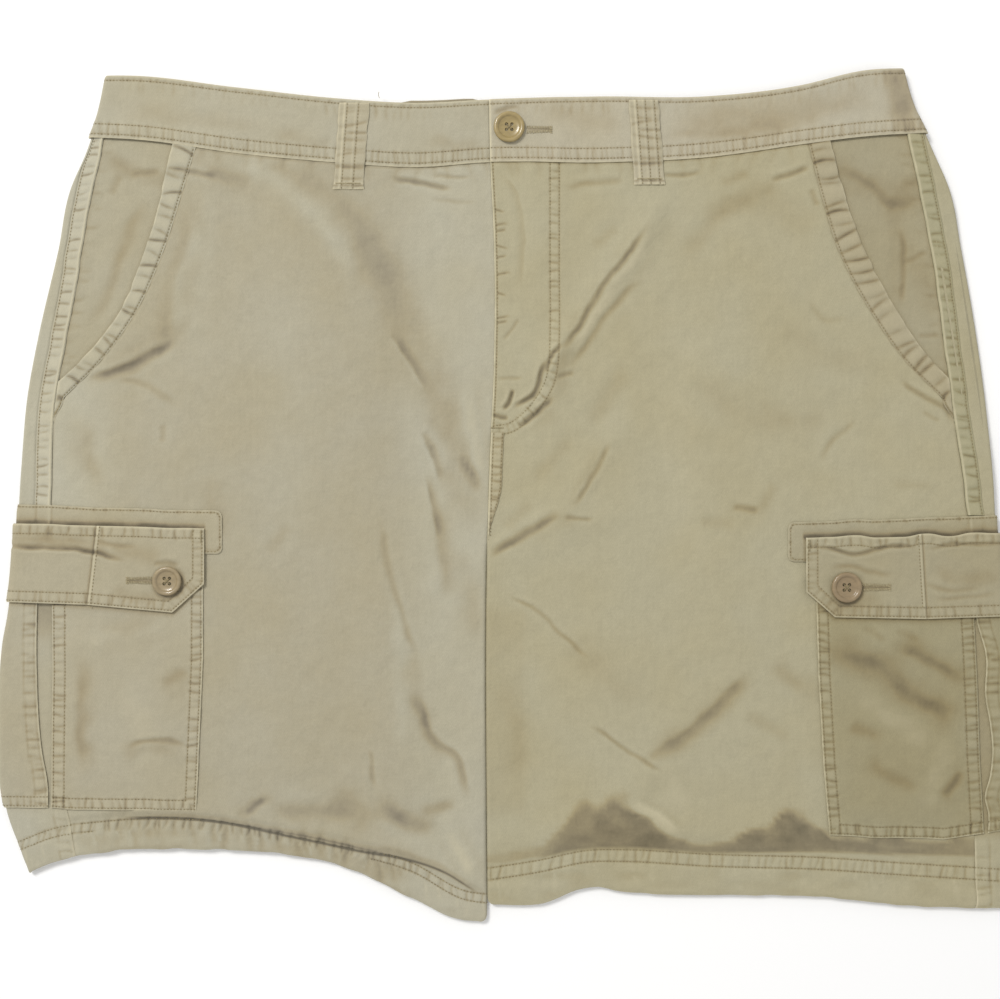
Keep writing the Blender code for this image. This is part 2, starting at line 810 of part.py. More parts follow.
for button_name, (bx, by, size) in BUTTONS.items():
    leg = RIGHT if bx < centre(by) else LEFT
    if button_name == "button_waist":
        under = BAND_PROUD + fly_lift(leg, bx, 232)
    else:
        under = FLAP_PLY + flap_curl(by - size)
    button(button_name, bx, by, size, front_level(leg, bx, by) + under + PLY_GAP)
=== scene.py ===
"""Khaki cargo shorts in washed cotton twill, laid flat with the front up and the waist towards +Y.

Right and left are the wearer's, so the right leg lies on the -X side. Each leg is a flattened
tube: its back lies on the table, turns round the outer fold and meets the front at the side
seam. Sizes are in millimetres until a mesh is made.
"""

import math
from types import SimpleNamespace

import bmesh
import bpy
import numpy as np
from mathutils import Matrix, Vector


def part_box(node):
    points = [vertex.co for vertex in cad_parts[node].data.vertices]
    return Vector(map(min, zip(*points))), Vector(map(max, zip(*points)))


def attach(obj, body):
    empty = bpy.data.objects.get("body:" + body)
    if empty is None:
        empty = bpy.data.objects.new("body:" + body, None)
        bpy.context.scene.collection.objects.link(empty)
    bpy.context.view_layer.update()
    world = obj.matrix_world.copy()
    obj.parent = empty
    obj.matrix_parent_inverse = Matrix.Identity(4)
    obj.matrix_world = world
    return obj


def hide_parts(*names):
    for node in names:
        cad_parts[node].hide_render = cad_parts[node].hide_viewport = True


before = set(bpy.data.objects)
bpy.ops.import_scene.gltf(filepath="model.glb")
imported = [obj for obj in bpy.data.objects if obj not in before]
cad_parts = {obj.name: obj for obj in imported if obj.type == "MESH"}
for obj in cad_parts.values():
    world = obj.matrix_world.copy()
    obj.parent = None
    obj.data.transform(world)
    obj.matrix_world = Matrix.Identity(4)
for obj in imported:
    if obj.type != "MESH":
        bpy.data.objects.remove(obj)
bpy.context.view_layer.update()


# ---------------------------------------------------------------- back panels
# One back panel for each leg, cut from garment-washed cotton twill of about 250 g a square
# metre. It runs from the inseam over the table and round the outer fold to the side seam, and
# the two are joined by a felled seam at the seat.

MM = 0.001
SHELL = 0.7            # one ply of twill
SEAM_GAP = 0.06
WAIST_GAP = 0.4

RIGHT_SIDES = (  # height, outer fold, side seam
    (290, 250, 247), (245, 258, 252), (219, 266, 256), (194, 277, 262), (156, 285, 269),
    (105, 297, 278), (61, 305, 286), (16, 308, 288), (-22, 310, 288), (-60, 313, 287),
    (-98, 318, 285), (-155, 320, 282), (-200, 317, 278), (-225, 309, 274), (-260, 296, 270),
)
LEFT_SIDES = (  # height, outer fold, side seam
    (290, 247, 244), (245, 260, 251), (219, 271, 256), (194, 282, 262), (156, 290, 270),
    (105, 299, 277), (61, 305, 283), (16, 309, 289), (-22, 311, 293), (-60, 314, 294),
    (-98, 318, 295), (-155, 320, 296), (-200, 320, 297), (-225, 321, 298), (-270, 321, 299),
)
CENTRE = (  # height, where the two sides meet
    (270, -11), (210, -10), (170, -8), (75, -8), (23, -10.5), (-28, -12), (-280, -12),
)
WAIST = (  # across, waist seam, top edge
    (-275, 227, 266), (-232, 225, 266), (-173, 217, 259), (-109, 211, 252), (-57, 208, 249),
    (-11, 211, 251), (60, 211, 253), (125, 214, 253), (186, 222, 260), (227, 227, 269.5),
    (275, 230, 271),
)
RIGHT_HEM = (  # across, hem edge, stitching above it
    (-315, -246, -222), (-286, -233, -211), (-258, -227, -207), (-195, -225, -206),
    (-150, -227, -212), (-100, -237, -222), (-60, -256, -233), (-27, -270, -251), (-8, -271, -254),
)
LEFT_HEM = (  # across, hem edge, stitching above it
    (-12, -260, -237), (20, -260, -232), (55, -249, -225), (75, -252, -225), (130, -254, -228),
    (200, -255, -230), (245, -260, -233), (325, -263, -238),
)
FRONT_LEVELS_AT = (0, 60, 130, 200, 255, 325)
FRONT_LEVELS = (  # height, then the front's top at those distances from the middle
    (275, 6.4, 6.4, 6.4, 6.4, 6.4, 6.4),
    (212, 6.2, 6.3, 6.3, 6.3, 6.2, 6.1),
    (150, 4.8, 5.7, 5.7, 5.0, 4.3, 4.0),
    (62, 4.6, 5.6, 5.8, 5.2, 4.4, 4.2),
    (5, 4.4, 5.6, 5.7, 5.7, 6.3, 6.5),
    (-60, 4.1, 5.3, 5.6, 5.7, 6.3, 6.6),
    (-190, 4.1, 5.2, 5.4, 5.7, 6.3, 6.6),
    (-228, 4.0, 4.2, 4.4, 4.6, 4.8, 4.8),
    (-275, 3.8, 3.8, 3.8, 3.8, 3.8, 3.8),
)
FOLDS = (  # from across, height, to across, height, rise, half width
    (30, 88, 92, 176, 2.4, 10),
    (36, -10, 72, 38, 1.4, 10),
    (-8, -38, 58, -14, 1.2, 11),
    (18, 205, 20, 150, 0.8, 8),
    (-63, 124, -60, -3, -0.9, 20),
    (-80, -66, -66, -225, 1.5, 20),
    (-22, -170, -20, -232, 1.2, 10),
    (-262, 72, -210, 92, -0.8, 12),
    (-128, 172, -95, 60, 1.0, 24),
    (110, -150, 60, -215, 1.3, 14),
    (130, -60, 160, -190, 1.0, 22),
    (-150, -60, -140, -190, 0.9, 24),
    (120, 60, 170, -20, -0.8, 20),
)
HEM_ROLL = (  # across, how far the cloth bulges over the top of the hem
    (-300, 0.2), (-255, 1.2), (-190, 1.4), (-150, 0.9), (-80, 1.2), (-15, 0.7), (0, 0.7),
    (45, 2.2), (110, 2.4), (140, 1.3), (180, 2.0), (215, 0.9), (320, 0.2),
)
WAIST_LIFT = 3.0       # the back waist lies on its belt loops
WAIST_RAMP = (165, 205)
CARGO_LIFT = 3.2       # the back of each leg lies on the rear of its cargo pocket
CARGO_RAMP_IN = (205, 245)
CARGO_RAMP_TOP = (46, 8)
CARGO_RAMP_FOOT = 22
CROTCH_RAMP = (-12, -52)
INSEAM_TIP = 0.01      # the rounded inseam ends this share of its radius short of upright
DRAPE = ((46, 0.32), (17, 0.10))   # spacing and height of the cloth's soft unevenness
PUCKER_PITCH = 5.0
HOLLOW = 0.85          # half width of the thin hollows between puckers
HEM_CORNER = 5.0       # the hem is rounded where it meets the inseam


def through(knots, values, at):
    """A smooth curve through values at knots. Each value may be an array as large as at."""
    knots = np.asarray(knots, float)
    values = np.asarray(values, float)
    at = np.clip(at, knots[0], knots[-1])
    i = np.clip(np.searchsorted(knots, at) - 1, 0, len(knots) - 2)
    slope = np.gradient(values, knots, axis=0)

    def pick(rows, j):
        return rows[j] if rows.ndim == 1 else np.take_along_axis(rows, j[None], 0)[0]

    width = knots[i + 1] - knots[i]
    t = (at - knots[i]) / width
    start = (1 + 2 * t) * (1 - t) ** 2 * pick(values, i) + t * (1 - t) ** 2 * width * pick(slope, i)
    end = t * t * (3 - 2 * t) * pick(values, i + 1) + t * t * (t - 1) * width * pick(slope, i + 1)
    return start + end


def curve(table, column=1):
    """A smooth curve through one column of a table, over its first column."""
    rows = sorted(table)
    knots = [row[0] for row in rows]
    values = [row[column] for row in rows]
    return lambda at: through(knots, values, at)


def straight(table, column=1):
    rows = sorted(table)
    return lambda at: np.interp(at, [row[0] for row in rows], [row[column] for row in rows])


def ramp(value, none, full):
    return np.clip((value - none) / (full - none), 0, 1)


def soften(value, none, full):
    share = ramp(value, none, full)
    return share * share * (3 - 2 * share)


def bump(distance, width):
    return np.exp(-(distance / width) ** 2)


def offset(line, by):
    """A line moved by a distance."""
    return lambda at: line(at) + by


def steady(value):
    """A line that keeps to one value."""
    return lambda at: value + 0 * at


def wander(x, y, size, seed):
    """Soft unevenness from -1 to 1, about one hump for each size."""
    u = np.asarray(x) / size + 500.3
    v = np.asarray(y) / size + 500.7
    i = np.floor(u).astype(int)
    j = np.floor(v).astype(int)
    heights = np.random.default_rng(seed).uniform(-1, 1, (64, 64))

    def ease(share):
        return share ** 3 * (share * (6 * share - 15) + 10)

    a = ease(u - i)
    b = ease(v - j)
    near = heights[i % 64, j % 64] * (1 - a) + heights[(i + 1) % 64, j % 64] * a
    far = heights[i % 64, (j + 1) % 64] * (1 - a) + heights[(i + 1) % 64, (j + 1) % 64] * a
    return near * (1 - b) + far * b


def window(x, low, high, blend):
    return soften(x, low - blend, low + blend) * (1 - soften(x, high - blend, high + blend))


def puckers(across, along, low, high, phase, pitch=PUCKER_PITCH, width=HOLLOW):
    """Puckers drawn up between two lines: how near their round tops, and how deep in a hollow.

    Each hollow has its own place, length, lean and depth.
    """
    across, along = np.broadcast_arrays(across, along)
    dice = np.random.default_rng(60 + int(3 * phase)).uniform(-1, 1, (4, 97))
    wide = np.maximum(high - low, 3.0)
    cell = np.floor(along / pitch).astype(int)
    nearest = np.ones(along.shape)
    hollow = np.zeros(along.shape)
    for step in (-1, 0, 1, 2):
        jitter, lean, middle, depth = dice[:, (cell + step) % 97]
        from_middle = across - (low + high) / 2 - 0.2 * wide * middle
        off = along - (cell + step + 0.4 * jitter) * pitch - 0.035 * pitch * lean * from_middle
        off = off - 0.5 * middle * (from_middle / wide) ** 2 * pitch
        length = (0.5 + 0.2 * depth) * wide
        nearest = np.minimum(nearest, np.abs(off) / (0.5 * pitch))
        hollow = np.maximum(hollow, (0.62 + 0.38 * depth) * bump(from_middle, length) * bump(off, width))
    return nearest ** 0.7, hollow


centre = curve(CENTRE)
waist_seam = curve(WAIST, 1)
waist_top = curve(WAIST, 2)
hem_roll = curve(HEM_ROLL)
level_columns = [curve(FRONT_LEVELS, i + 1) for i in range(len(FRONT_LEVELS_AT))]


def make_side(name, sign, sides, hem, pocket_foot, roll, lower_row, one_row, wavy):
    """One leg: its lines as functions of height or of the place across."""
    sewn_at = curve(sides, 2)
    folded_at = curve(hem, 1)

    def seam(y):
        return sewn_at(y) + 0.45 * wander(y, 7.0 * sign, 12, 51)

    def hem_edge(x):
        inward = np.clip(1 - sign * (x - centre(-260.0)) / HEM_CORNER, 0, 1)
        corner = HEM_CORNER * (1 - np.sqrt(1 - inward ** 2))
        return folded_at(x) + wavy * wander(x, 3.0 * sign, 9, 52) + corner

    return SimpleNamespace(
        name=name, sign=sign, fold=curve(sides, 1), seam=seam, pocket_foot=pocket_foot,
        hem_edge=hem_edge, hem_stitch=curve(hem, 2), roll=roll, lower_row=lower_row, one_row=one_row,
    )


# The bulge over each hem: how far above the stitching it is highest, its reach below and above.
# Then the hem's lower row of stitching, below the upper, where the bulge hides one of them, and
# how wavy the hem's edge is.
RIGHT = make_side("right", -1, RIGHT_SIDES, RIGHT_HEM, -204, (6.5, 3.2, 13), 5.6, (-262, -86), 0.9)
LEFT = make_side("left", 1, LEFT_SIDES, LEFT_HEM, -220, (15, 7.5, 17), 7.6, (900, 901), 0.35)
SIDES = (RIGHT, LEFT)


def settled(x, y):
    """Height of the front's outer face above the table, without its small creases."""
    x, y = np.broadcast_arrays(x, y)
    columns = np.array([column(y) for column in level_columns])
    height = through(FRONT_LEVELS_AT, columns, np.abs(x))
    for ax, ay, bx, by, rise, width in FOLDS:
        length = math.hypot(bx - ax, by - ay)
        run = ((x - ax) * (bx - ax) + (y - ay) * (by - ay)) / length
        off = ((y - ay) * (bx - ax) - (x - ax) * (by - ay)) / length
        beyond = np.maximum(np.maximum(-run, run - length), 0)
        height = height + rise * bump(off, width) * bump(beyond, 1.5 * width)
    for side in SIDES:
        peak, below, over = side.roll
        above = y - side.hem_stitch(x)
        reach = np.where(above < peak, below, over)
        mine = side.sign * (x - centre(y)) > 0
        height = height + np.where(mine & (above > 0), hem_roll(x) * bump(above - peak, reach), 0)
    for i, (size, rise) in enumerate(DRAPE):
        height = height + rise * wander(x, y, size, 11 + i) * soften(y, -250, -215)
    return height


def back_height(side, x, y):
    """Height of the back's outer face: on the table, or on what lies under it."""
    waist = WAIST_LIFT * ramp(y, *WAIST_RAMP)
    inward = ramp(np.abs(x), *CARGO_RAMP_IN)
    down = ramp(y, *CARGO_RAMP_TOP)
    up = ramp(y, side.pocket_foot - CARGO_RAMP_FOOT, side.pocket_foot)
    return np.maximum(waist, CARGO_LIFT * inward * np.minimum(down, up))


def fold_of(side, y):
    """The outer fold at a height: where the level front ends, and the fold's radius."""
    x = side.sign * side.fold(y)
    radius = (settled(x, y) - back_height(side, x, y)) / 2
    return side.fold(y) - radius, radius


def on_tube(side, w, y, out):
    """Points on a leg, moved out. w is the distance round it from where the front's level part ends."""
    begin, radius = fold_of(side, y)
    arc = math.pi * radius
    turn = math.pi / 2 - np.clip(w, 0, arc) / radius
    front_at = begin + np.minimum(w, 0)
    back_at = begin - np.maximum(w - arc, 0)
    top = settled(side.sign * front_at, y)
    foot = back_height(side, side.sign * back_at, y)
    x = side.sign * (np.where(w < arc, front_at, back_at) + (radius + out) * np.cos(turn))
    z = (top + foot) / 2 + ((top - foot) / 2 + out) * np.sin(turn)
    return np.stack(np.broadcast_arrays(x, y, z), -1)


def around(side, s, v, top, foot, start, end, out, lift=0.0):
    """A piece that goes round the outer fold, as rows of points with their colour marks: paler from rubbing,
    darker as painted shade.

    s is 0 to 1 from its line on the front to the fold, 1 to 2 round the fold, and 2 to 3 on to
    its line on the back. v is 0 at its top row and 1 at its foot.
    """
    x = side.sign * 290.0 + 0 * (s + v)
    for _ in range(8):
        y = top(x) + (foot(x) - top(x)) * v
        begin, radius = fold_of(side, y)
        arc = math.pi * radius
        w = (start(y) - begin) * (1 - np.clip(s, 0, 1)) + arc * np.clip(s - 1, 0, 1)
        w = w + (begin - end(y)) * np.clip(s - 2, 0, 1)
        flat = begin + np.minimum(w, 0) - np.maximum(w - arc, 0)
        x = side.sign * (flat + radius * np.cos(math.pi / 2 - np.clip(w, 0, arc) / radius))
    rise, wear_and_shade = out(x, y, w)
    return on_tube(side, w, y, rise + lift), wear_and_shade


def graded(length, coarse, fine, start=0.0, end=0.0, blend=10.0):
    """Shares of a length, close together near its ends and wider between."""
    stations = [0.0]
    while stations[-1] < length:
        here = stations[-1]
        near_start = 1 - max(here - start, 0) / blend
        near_end = 1 - max(length - end - here, 0) / blend
        stations.append(here + coarse + (fine - coarse) * max(near_start, near_end, 0))
    return np.array(stations) / stations[-1]


def round_shares(front, back, step, back_step, edge=0.6):
    """Shares round a tube: fine at the piece's front edge, even round the fold, wider on the back."""
    ahead = graded(front, step, edge, start=1.5, blend=3)
    fold = 1 + np.linspace(0, 1, 11)[1:]
    behind = 2 + graded(back, back_step, edge, end=1.5, blend=8)[1:]
    return np.concatenate([ahead, fold, behind])[None, :]


def stitched(distance, along, rows, phase, pucker=0.34, reach=4.0, begin=None, pitch=PUCKER_PITCH):
    """Grooves at rows of stitching, and the puckers that they draw up between and beside them."""
    begin = rows[0] if begin is None else begin
    distance, along = np.broadcast_arrays(distance, along)
    groove = sum(bump(distance - row, 0.7) for row in rows)
    tops, hollow = puckers(distance, along, begin, rows[-1], phase, pitch)
    here = soften(distance, begin - 1, begin + 1) * (1 - soften(distance, rows[-1] - 0.5, rows[-1] + reach))
    rise = pucker * here * (tops - 0.5 - 0.7 * hollow) - 0.2 * groove
    # Pucker tops are a little paler. Their hollows and the stitch grooves are painted darker as shade.
    wear_and_shade = here * (0.14 * tops - 0.62 * hollow) * pucker / 0.34 - 0.36 * groove
    return rise, wear_and_shade


def edge_finish(
    distance, along, rows, phase, pucker=0.34, reach=4.0, roll=0.35, worn_and_shaded=0.85, pitch=PUCKER_PITCH,
):
    """A turned and stitched edge: rolled over, abraded pale, and puckered by its rows of stitching, whose
    hollows and grooves are painted darker as shade.
    """
    rise, wear_and_shade = stitched(distance, along, rows, phase, pucker, reach, 0.0, pitch)
    rise = rise - roll * (1 - ramp(distance, 0, 0.9)) ** 2
    patchy = 0.7 + 0.3 * wander(along, 17.0 * phase, 7, 23)
    return rise, wear_and_shade + worn_and_shaded * patchy * (1 - ramp(distance, 0.3, 1.4))


def bend(points, step=2.5):
    """A smooth line through a few points."""
    points = np.array(points, float)
    along = np.concatenate([[0], np.cumsum(np.hypot(*np.diff(points, axis=0).T))])
    at = np.linspace(0, along[-1], max(4, int(along[-1] / step) + 1))
    return np.stack([through(along, points[:, 0], at), through(along, points[:, 1], at)], -1)


def beside(x, y, line):
    """The distance from a line, positive on its left, and the distance along it."""
    best = np.full(x.shape, np.inf)
    off = np.zeros(x.shape)
    run = np.zeros(x.shape)
    begin = 0.0
    for (ax, ay), (bx, by) in zip(line[:-1], line[1:]):
        length = math.hypot(bx - ax, by - ay)
        share = np.clip(((x - ax) * (bx - ax) + (y - ay) * (by - ay)) / length ** 2, 0, 1)
        gap = np.hypot(x - ax - share * (bx - ax), y - ay - share * (by - ay))
        turn = np.sign((bx - ax) * (y - ay) - (by - ay) * (x - ax))
        nearer = gap < best
        off = np.where(nearer, gap * turn, off)
        run = np.where(nearer, begin + share * length, run)
        best = np.where(nearer, gap, best)
        begin += length
    return off, run


def creased(x, y, creases, wear_and_shade_part=None):
    """Heights and colour marks of soft troughs and ridges, which fade at their ends and have raised lips.

    Troughs are painted darker as shade, and ridges and lips paler. Given a share of shade, they are broad
    folds, painted darker where they sink and paler where they rise, with their height.
    """
    x, y = np.broadcast_arrays(x, y)
    rise = np.zeros(x.shape)
    wear_and_shade = np.zeros(x.shape)
    for height, left, right, points in creases:
        line = bend(points)
        length = np.hypot(*np.diff(line, axis=0).T).sum()
        reach = 3.4 * max(left, right)
        low = line.min(0) - reach
        high = line.max(0) + reach
        near = (x > low[0]) & (x < high[0]) & (y > low[1]) & (y < high[1])
        if not near.any():
            continue
        off, run = beside(x[near], y[near], line)
        ends = np.minimum(run, length - run)
        wobble = 0.9 * wander(x[near], y[near], 13, 71) + 0.35 * wander(x[near], y[near], 5, 72)
        off = off + (1.0 if wear_and_shade_part is None else 2.6) * wobble * ramp(ends, 0, 6)
        width = right + (left - right) * soften(off, -0.4 * right, 0.4 * left)
        fade = soften(ends, 0, 0.22 * length)
        uneven = 0.8 + 0.2 * wander(run, 31 * height + 7 * left, 9, 73)
        body = height * fade * uneven * bump(off, width)
        if wear_and_shade_part is not None:
            patchy = 0.85 + 0.3 * wander(x[near], y[near], 9, 74)
            body = height * fade * patchy * np.exp(-np.abs(off / width) ** 2.2)
            rise[near] += 0.7 * body
            wear_and_shade[near] += wear_and_shade_part * body
            continue
        lips = -0.28 * height * fade * bump(np.abs(off) - 2.2 * width, 0.9 * width)
        rise[near] += body + np.where(height < 0, lips, 0)
        strength = min(1.0, 2.6 / min(left, right)) * 0.8
        wear_and_shade[near] += strength * body + 0.5 * strength * lips
    return rise, wear_and_shade


def lay(sign, u, v, inner, outer, top, foot):
    """Places on the front for shares across and down, between two side lines and two rows."""
    x = sign * 150.0 + 0 * (u + v)
    for _ in range(8):
        y = top(x) + (foot(x) - top(x)) * v
        x = sign * (inner(y) + (outer(y) - inner(y)) * u)
    return x, y


LEAST_CUT = 0.0105     # metres, the narrowest strip that is cut
HEM_THICK = 1.5        # the hem, turned up twice
SHARP = 40.0           # degrees, where an edge is shown as an edge
INNER_FLAT = 3.0       # degrees
INNER_DEEPER = 0.5     # keeps the inner side's larger faces below the hollows of the outer


def cut_of(points):
    """The size that a piece was cut to, across and down, and its area, in metres."""
    across = np.linalg.norm(np.diff(points, axis=1), axis=-1).sum(1).max() * MM
    down = np.linalg.norm(np.diff(points, axis=0), axis=-1).sum(0).max() * MM
    side_a = points[1:, :-1] - points[:-1, :-1]
    side_b = points[:-1, 1:] - points[:-1, :-1]
    area = np.linalg.norm(np.cross(side_a, side_b), axis=-1).sum() * MM * MM
    size = [max(float(across), LEAST_CUT), max(float(down), LEAST_CUT)]
    return size, float(min(area, size[0] * size[1]))


def linked(name, data):
    """A new object in the scene."""
    made = bpy.data.objects.new(name, data)
    bpy.context.scene.collection.objects.link(made)
    return made


def places_of(mesh):
    """A mesh's points as rows, in millimetres."""
    places = np.empty(len(mesh.vertices) * 3, np.float32)
    mesh.vertices.foreach_get("co", places)
    return places.reshape(-1, 3).astype(float) / MM


def refine(mesh, face, lines):
    """Smaller faces beside some lines, then every point is set on the piece's face again."""
    work = bmesh.new()
    work.from_mesh(mesh)
    for reach in (6.0, 3.2):
        work.edges.ensure_lookup_table()
        middles = np.array([(e.verts[0].co + e.verts[1].co)[:2] for e in work.edges]) / 2 / MM
        wanted = np.zeros(len(middles), bool)
        for line, levels in lines:
            if levels < (2 if reach < 4 else 1):
                continue
            low = line.min(0) - reach
            high = line.max(0) + reach
            near = np.flatnonzero(((middles > low) & (middles < high)).all(1))
            if len(near):
                off, _ = beside(middles[near, 0], middles[near, 1], line)
                wanted[near] |= np.abs(off) < reach
        edges = [work.edges[i] for i in np.flatnonzero(wanted)]
        if edges:
            bmesh.ops.subdivide_edges(work, edges=edges, cuts=1, use_grid_fill=True)
    work.to_mesh(mesh)
    work.free()
    points = places_of(mesh)
    points[:, 2], wear_and_shade = face(points[:, 0], points[:, 1])
    mesh.vertices.foreach_set("co", (points * MM).ravel().astype(np.float32))
    mesh.attributes["wear_and_shade"].data.foreach_set("value", wear_and_shade.astype(np.float32))
    mesh.update()


def cloth(name, points, wear_and_shade, material, up=True, thick=SHELL, face=None, lines=(), hem=None):
    """A cloth piece: its outer face from rows of points, thickened inwards."""
    rows, columns = wear_and_shade.shape
    points[..., 2] = np.maximum(points[..., 2], 0)
    index = np.arange(rows * columns).reshape(rows, columns)
    corners = (index[:-1, :-1], index[:-1, 1:], index[1:, 1:], index[1:, :-1])
    mesh = bpy.data.meshes.new(name)
    mesh.from_pydata((points.reshape(-1, 3) * MM).tolist(), [], np.stack(corners, -1).reshape(-1, 4).tolist())
    mesh.update()
    if (mesh.polygons[0].normal.z > 0) != up:
        mesh.flip_normals()
    # Each point's mark: above nought it is paler from rubbing, below nought it is darker, as painted shade in
    # hollows, gaps and under other pieces.
    wear_and_shade_part = mesh.attributes.new("wear_and_shade", "FLOAT", "POINT")
    wear_and_shade_part.data.foreach_set("value", wear_and_shade.ravel().astype(np.float32))
    if lines:
        refine(mesh, face, lines)
    draft = linked(name + "_draft", mesh)
    wall = draft.modifiers.new("ply", "SOLIDIFY")
    wall.thickness = thick * MM
    wall.offset = -1
    if hem:
        turned = hem(*places_of(mesh)[:, :2].T)
        group = draft.vertex_groups.new(name="plies")
        group.add(np.flatnonzero(turned).tolist(), 1.0, "REPLACE")
        group.add(np.flatnonzero(~turned).tolist(), thick / HEM_THICK, "REPLACE")
        wall.thickness = HEM_THICK * MM
        wall.vertex_group = "plies"
    outer = len(mesh.vertices)
    piece = plain(draft, name)
    thin_out(piece.data, outer)
    piece.data.materials.clear()
    piece.data.materials.append(material)
    piece.data.shade_smooth()
    piece.data.set_sharp_from_angle(angle=math.radians(SHARP))
    piece["cut"], piece["area"] = cut_of(points)
    return piece


def thin_out(mesh, outer):
    """Fewer faces on the inner side, which lies against other cloth, wherever it is nearly flat."""
    work = bmesh.new()
    work.from_mesh(mesh)
    inner = [v for v in work.verts if outer <= v.index < 2 * outer]
    inner = [v for v in inner if all(e.other_vert(v).index >= outer for e in v.link_edges)]
    chosen = set(inner)
    work.normal_update()
    for vertex in inner:
        vertex.co += vertex.normal * INNER_DEEPER * MM
    edges = [e for e in work.edges if e.verts[0] in chosen and e.verts[1] in chosen]
    bmesh.ops.dissolve_limit(
        work, angle_limit=math.radians(INNER_FLAT), use_dissolve_boundaries=False, verts=inner, edges=edges,
    )
    work.to_mesh(mesh)
    work.free()


def plain(draft, name):
    """The evaluated object as a plain mesh, in place of its draft."""
    bpy.context.view_layer.update()
    graph = bpy.context.evaluated_depsgraph_get()
    mesh = bpy.data.meshes.new_from_object(draft.evaluated_get(graph))
    mesh.name = name
    piece = linked(name, mesh)
    bpy.data.objects.remove(draft)
    return piece


def sewn(piece, node_name):
    """Attaches a cloth piece to the root, hides its part from the model, and drops its cut size and area."""
    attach(piece, "root")
    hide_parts(node_name)
    del piece["cut"], piece["area"]


def linear(hex_colour, gain=1.0, warmth=0.0):
    """An sRGB hex colour as linear light, brighter by gain and shifted towards tan by warmth."""
    parts = [int(hex_colour[i:i + 2], 16) / 255 for i in (1, 3, 5)]
    light = [c / 12.92 if c <= 0.04045 else ((c + 0.055) / 1.055) ** 2.4 for c in parts]
    tint = (1 + 0.01 * warmth, 1 - 0.03 * warmth, 1 - 0.13 * warmth)
    return [gain * part * share for part, share in zip(light, tint)] + [1.0]


def node(tree, kind, links=(), **settings):
    """Adds a node. A link is (input, source node, output), or (input, None, value)."""
    made = tree.nodes.new(kind)
    for key, value in settings.items():
        setattr(made, key, value)
    for target, source, output in links:
        if source is None:
            made.inputs[target].default_value = output
        else:
            tree.links.new(source.outputs[output], made.inputs[target])
    return made


def principled(name):
    """A material, its node tree and its shader."""
    material = bpy.data.materials.new(name)
    material.use_nodes = True
    return material, material.node_tree, material.node_tree.nodes["Principled BSDF"]


def noise(tree, source, output, size, detail=2.0, distortion=0.0):
    """Clouds about as wide as size."""
    return node(tree, "ShaderNodeTexNoise", [
        ("Vector", source, output), ("Scale", None, 1 / (size * MM)), ("Detail", None, detail),
        ("Distortion", None, distortion),
    ])


def spread(tree, pattern, low, high, least, most):
    """A pattern's values from low to high, spread over gains from least to most."""
    return node(tree, "ShaderNodeMapRange", [
        ("Value", pattern, "Fac"), ("From Min", None, low), ("From Max", None, high),
        ("To Min", None, least), ("To Max", None, most),
    ])


def two_shades(tree, pattern, *stops):
    """A pattern's values as colours between two stops, each a value and its colour."""
    made = node(tree, "ShaderNodeValToRGB", [("Fac", pattern, "Fac")])
    for i, (value, colour) in enumerate(stops):
        made.color_ramp.elements[i].position = value
        made.color_ramp.elements[i].color = colour
    return made


TWILL_PITCH = 1.2      # between the twill's lines, twice the real spacing, so that they show
MOTTLE = 62.0          # the patches that the garment wash leaves
SMALL_MOTTLE = 7.0
SLUB = 1.3
TOOTH = 1.0            # twice the yarns' real spacing, so that it shows
WORN_AND_SHADED_SPECK = 4.0       # rubbing takes the dye off in specks of this size, and the painted shade is broken into the same specks
RUMPLE = 14.0
WORN_DYE = "#C6BDA0"
DEEPEST = 1.2          # the value of the deepest hollows, painted darkest as shade
KEPT_TAN_AND_SHADE = (0.85, 0.80, 0.725)     # painted shade of a shallow hollow, tinted with the dye's tan
HALF_SHADE = (0.59, 0.55, 0.52)    # painted shade of a deeper one
IN_SHADE = (0.38, 0.36, 0.345)     # and painted shade of the deepest
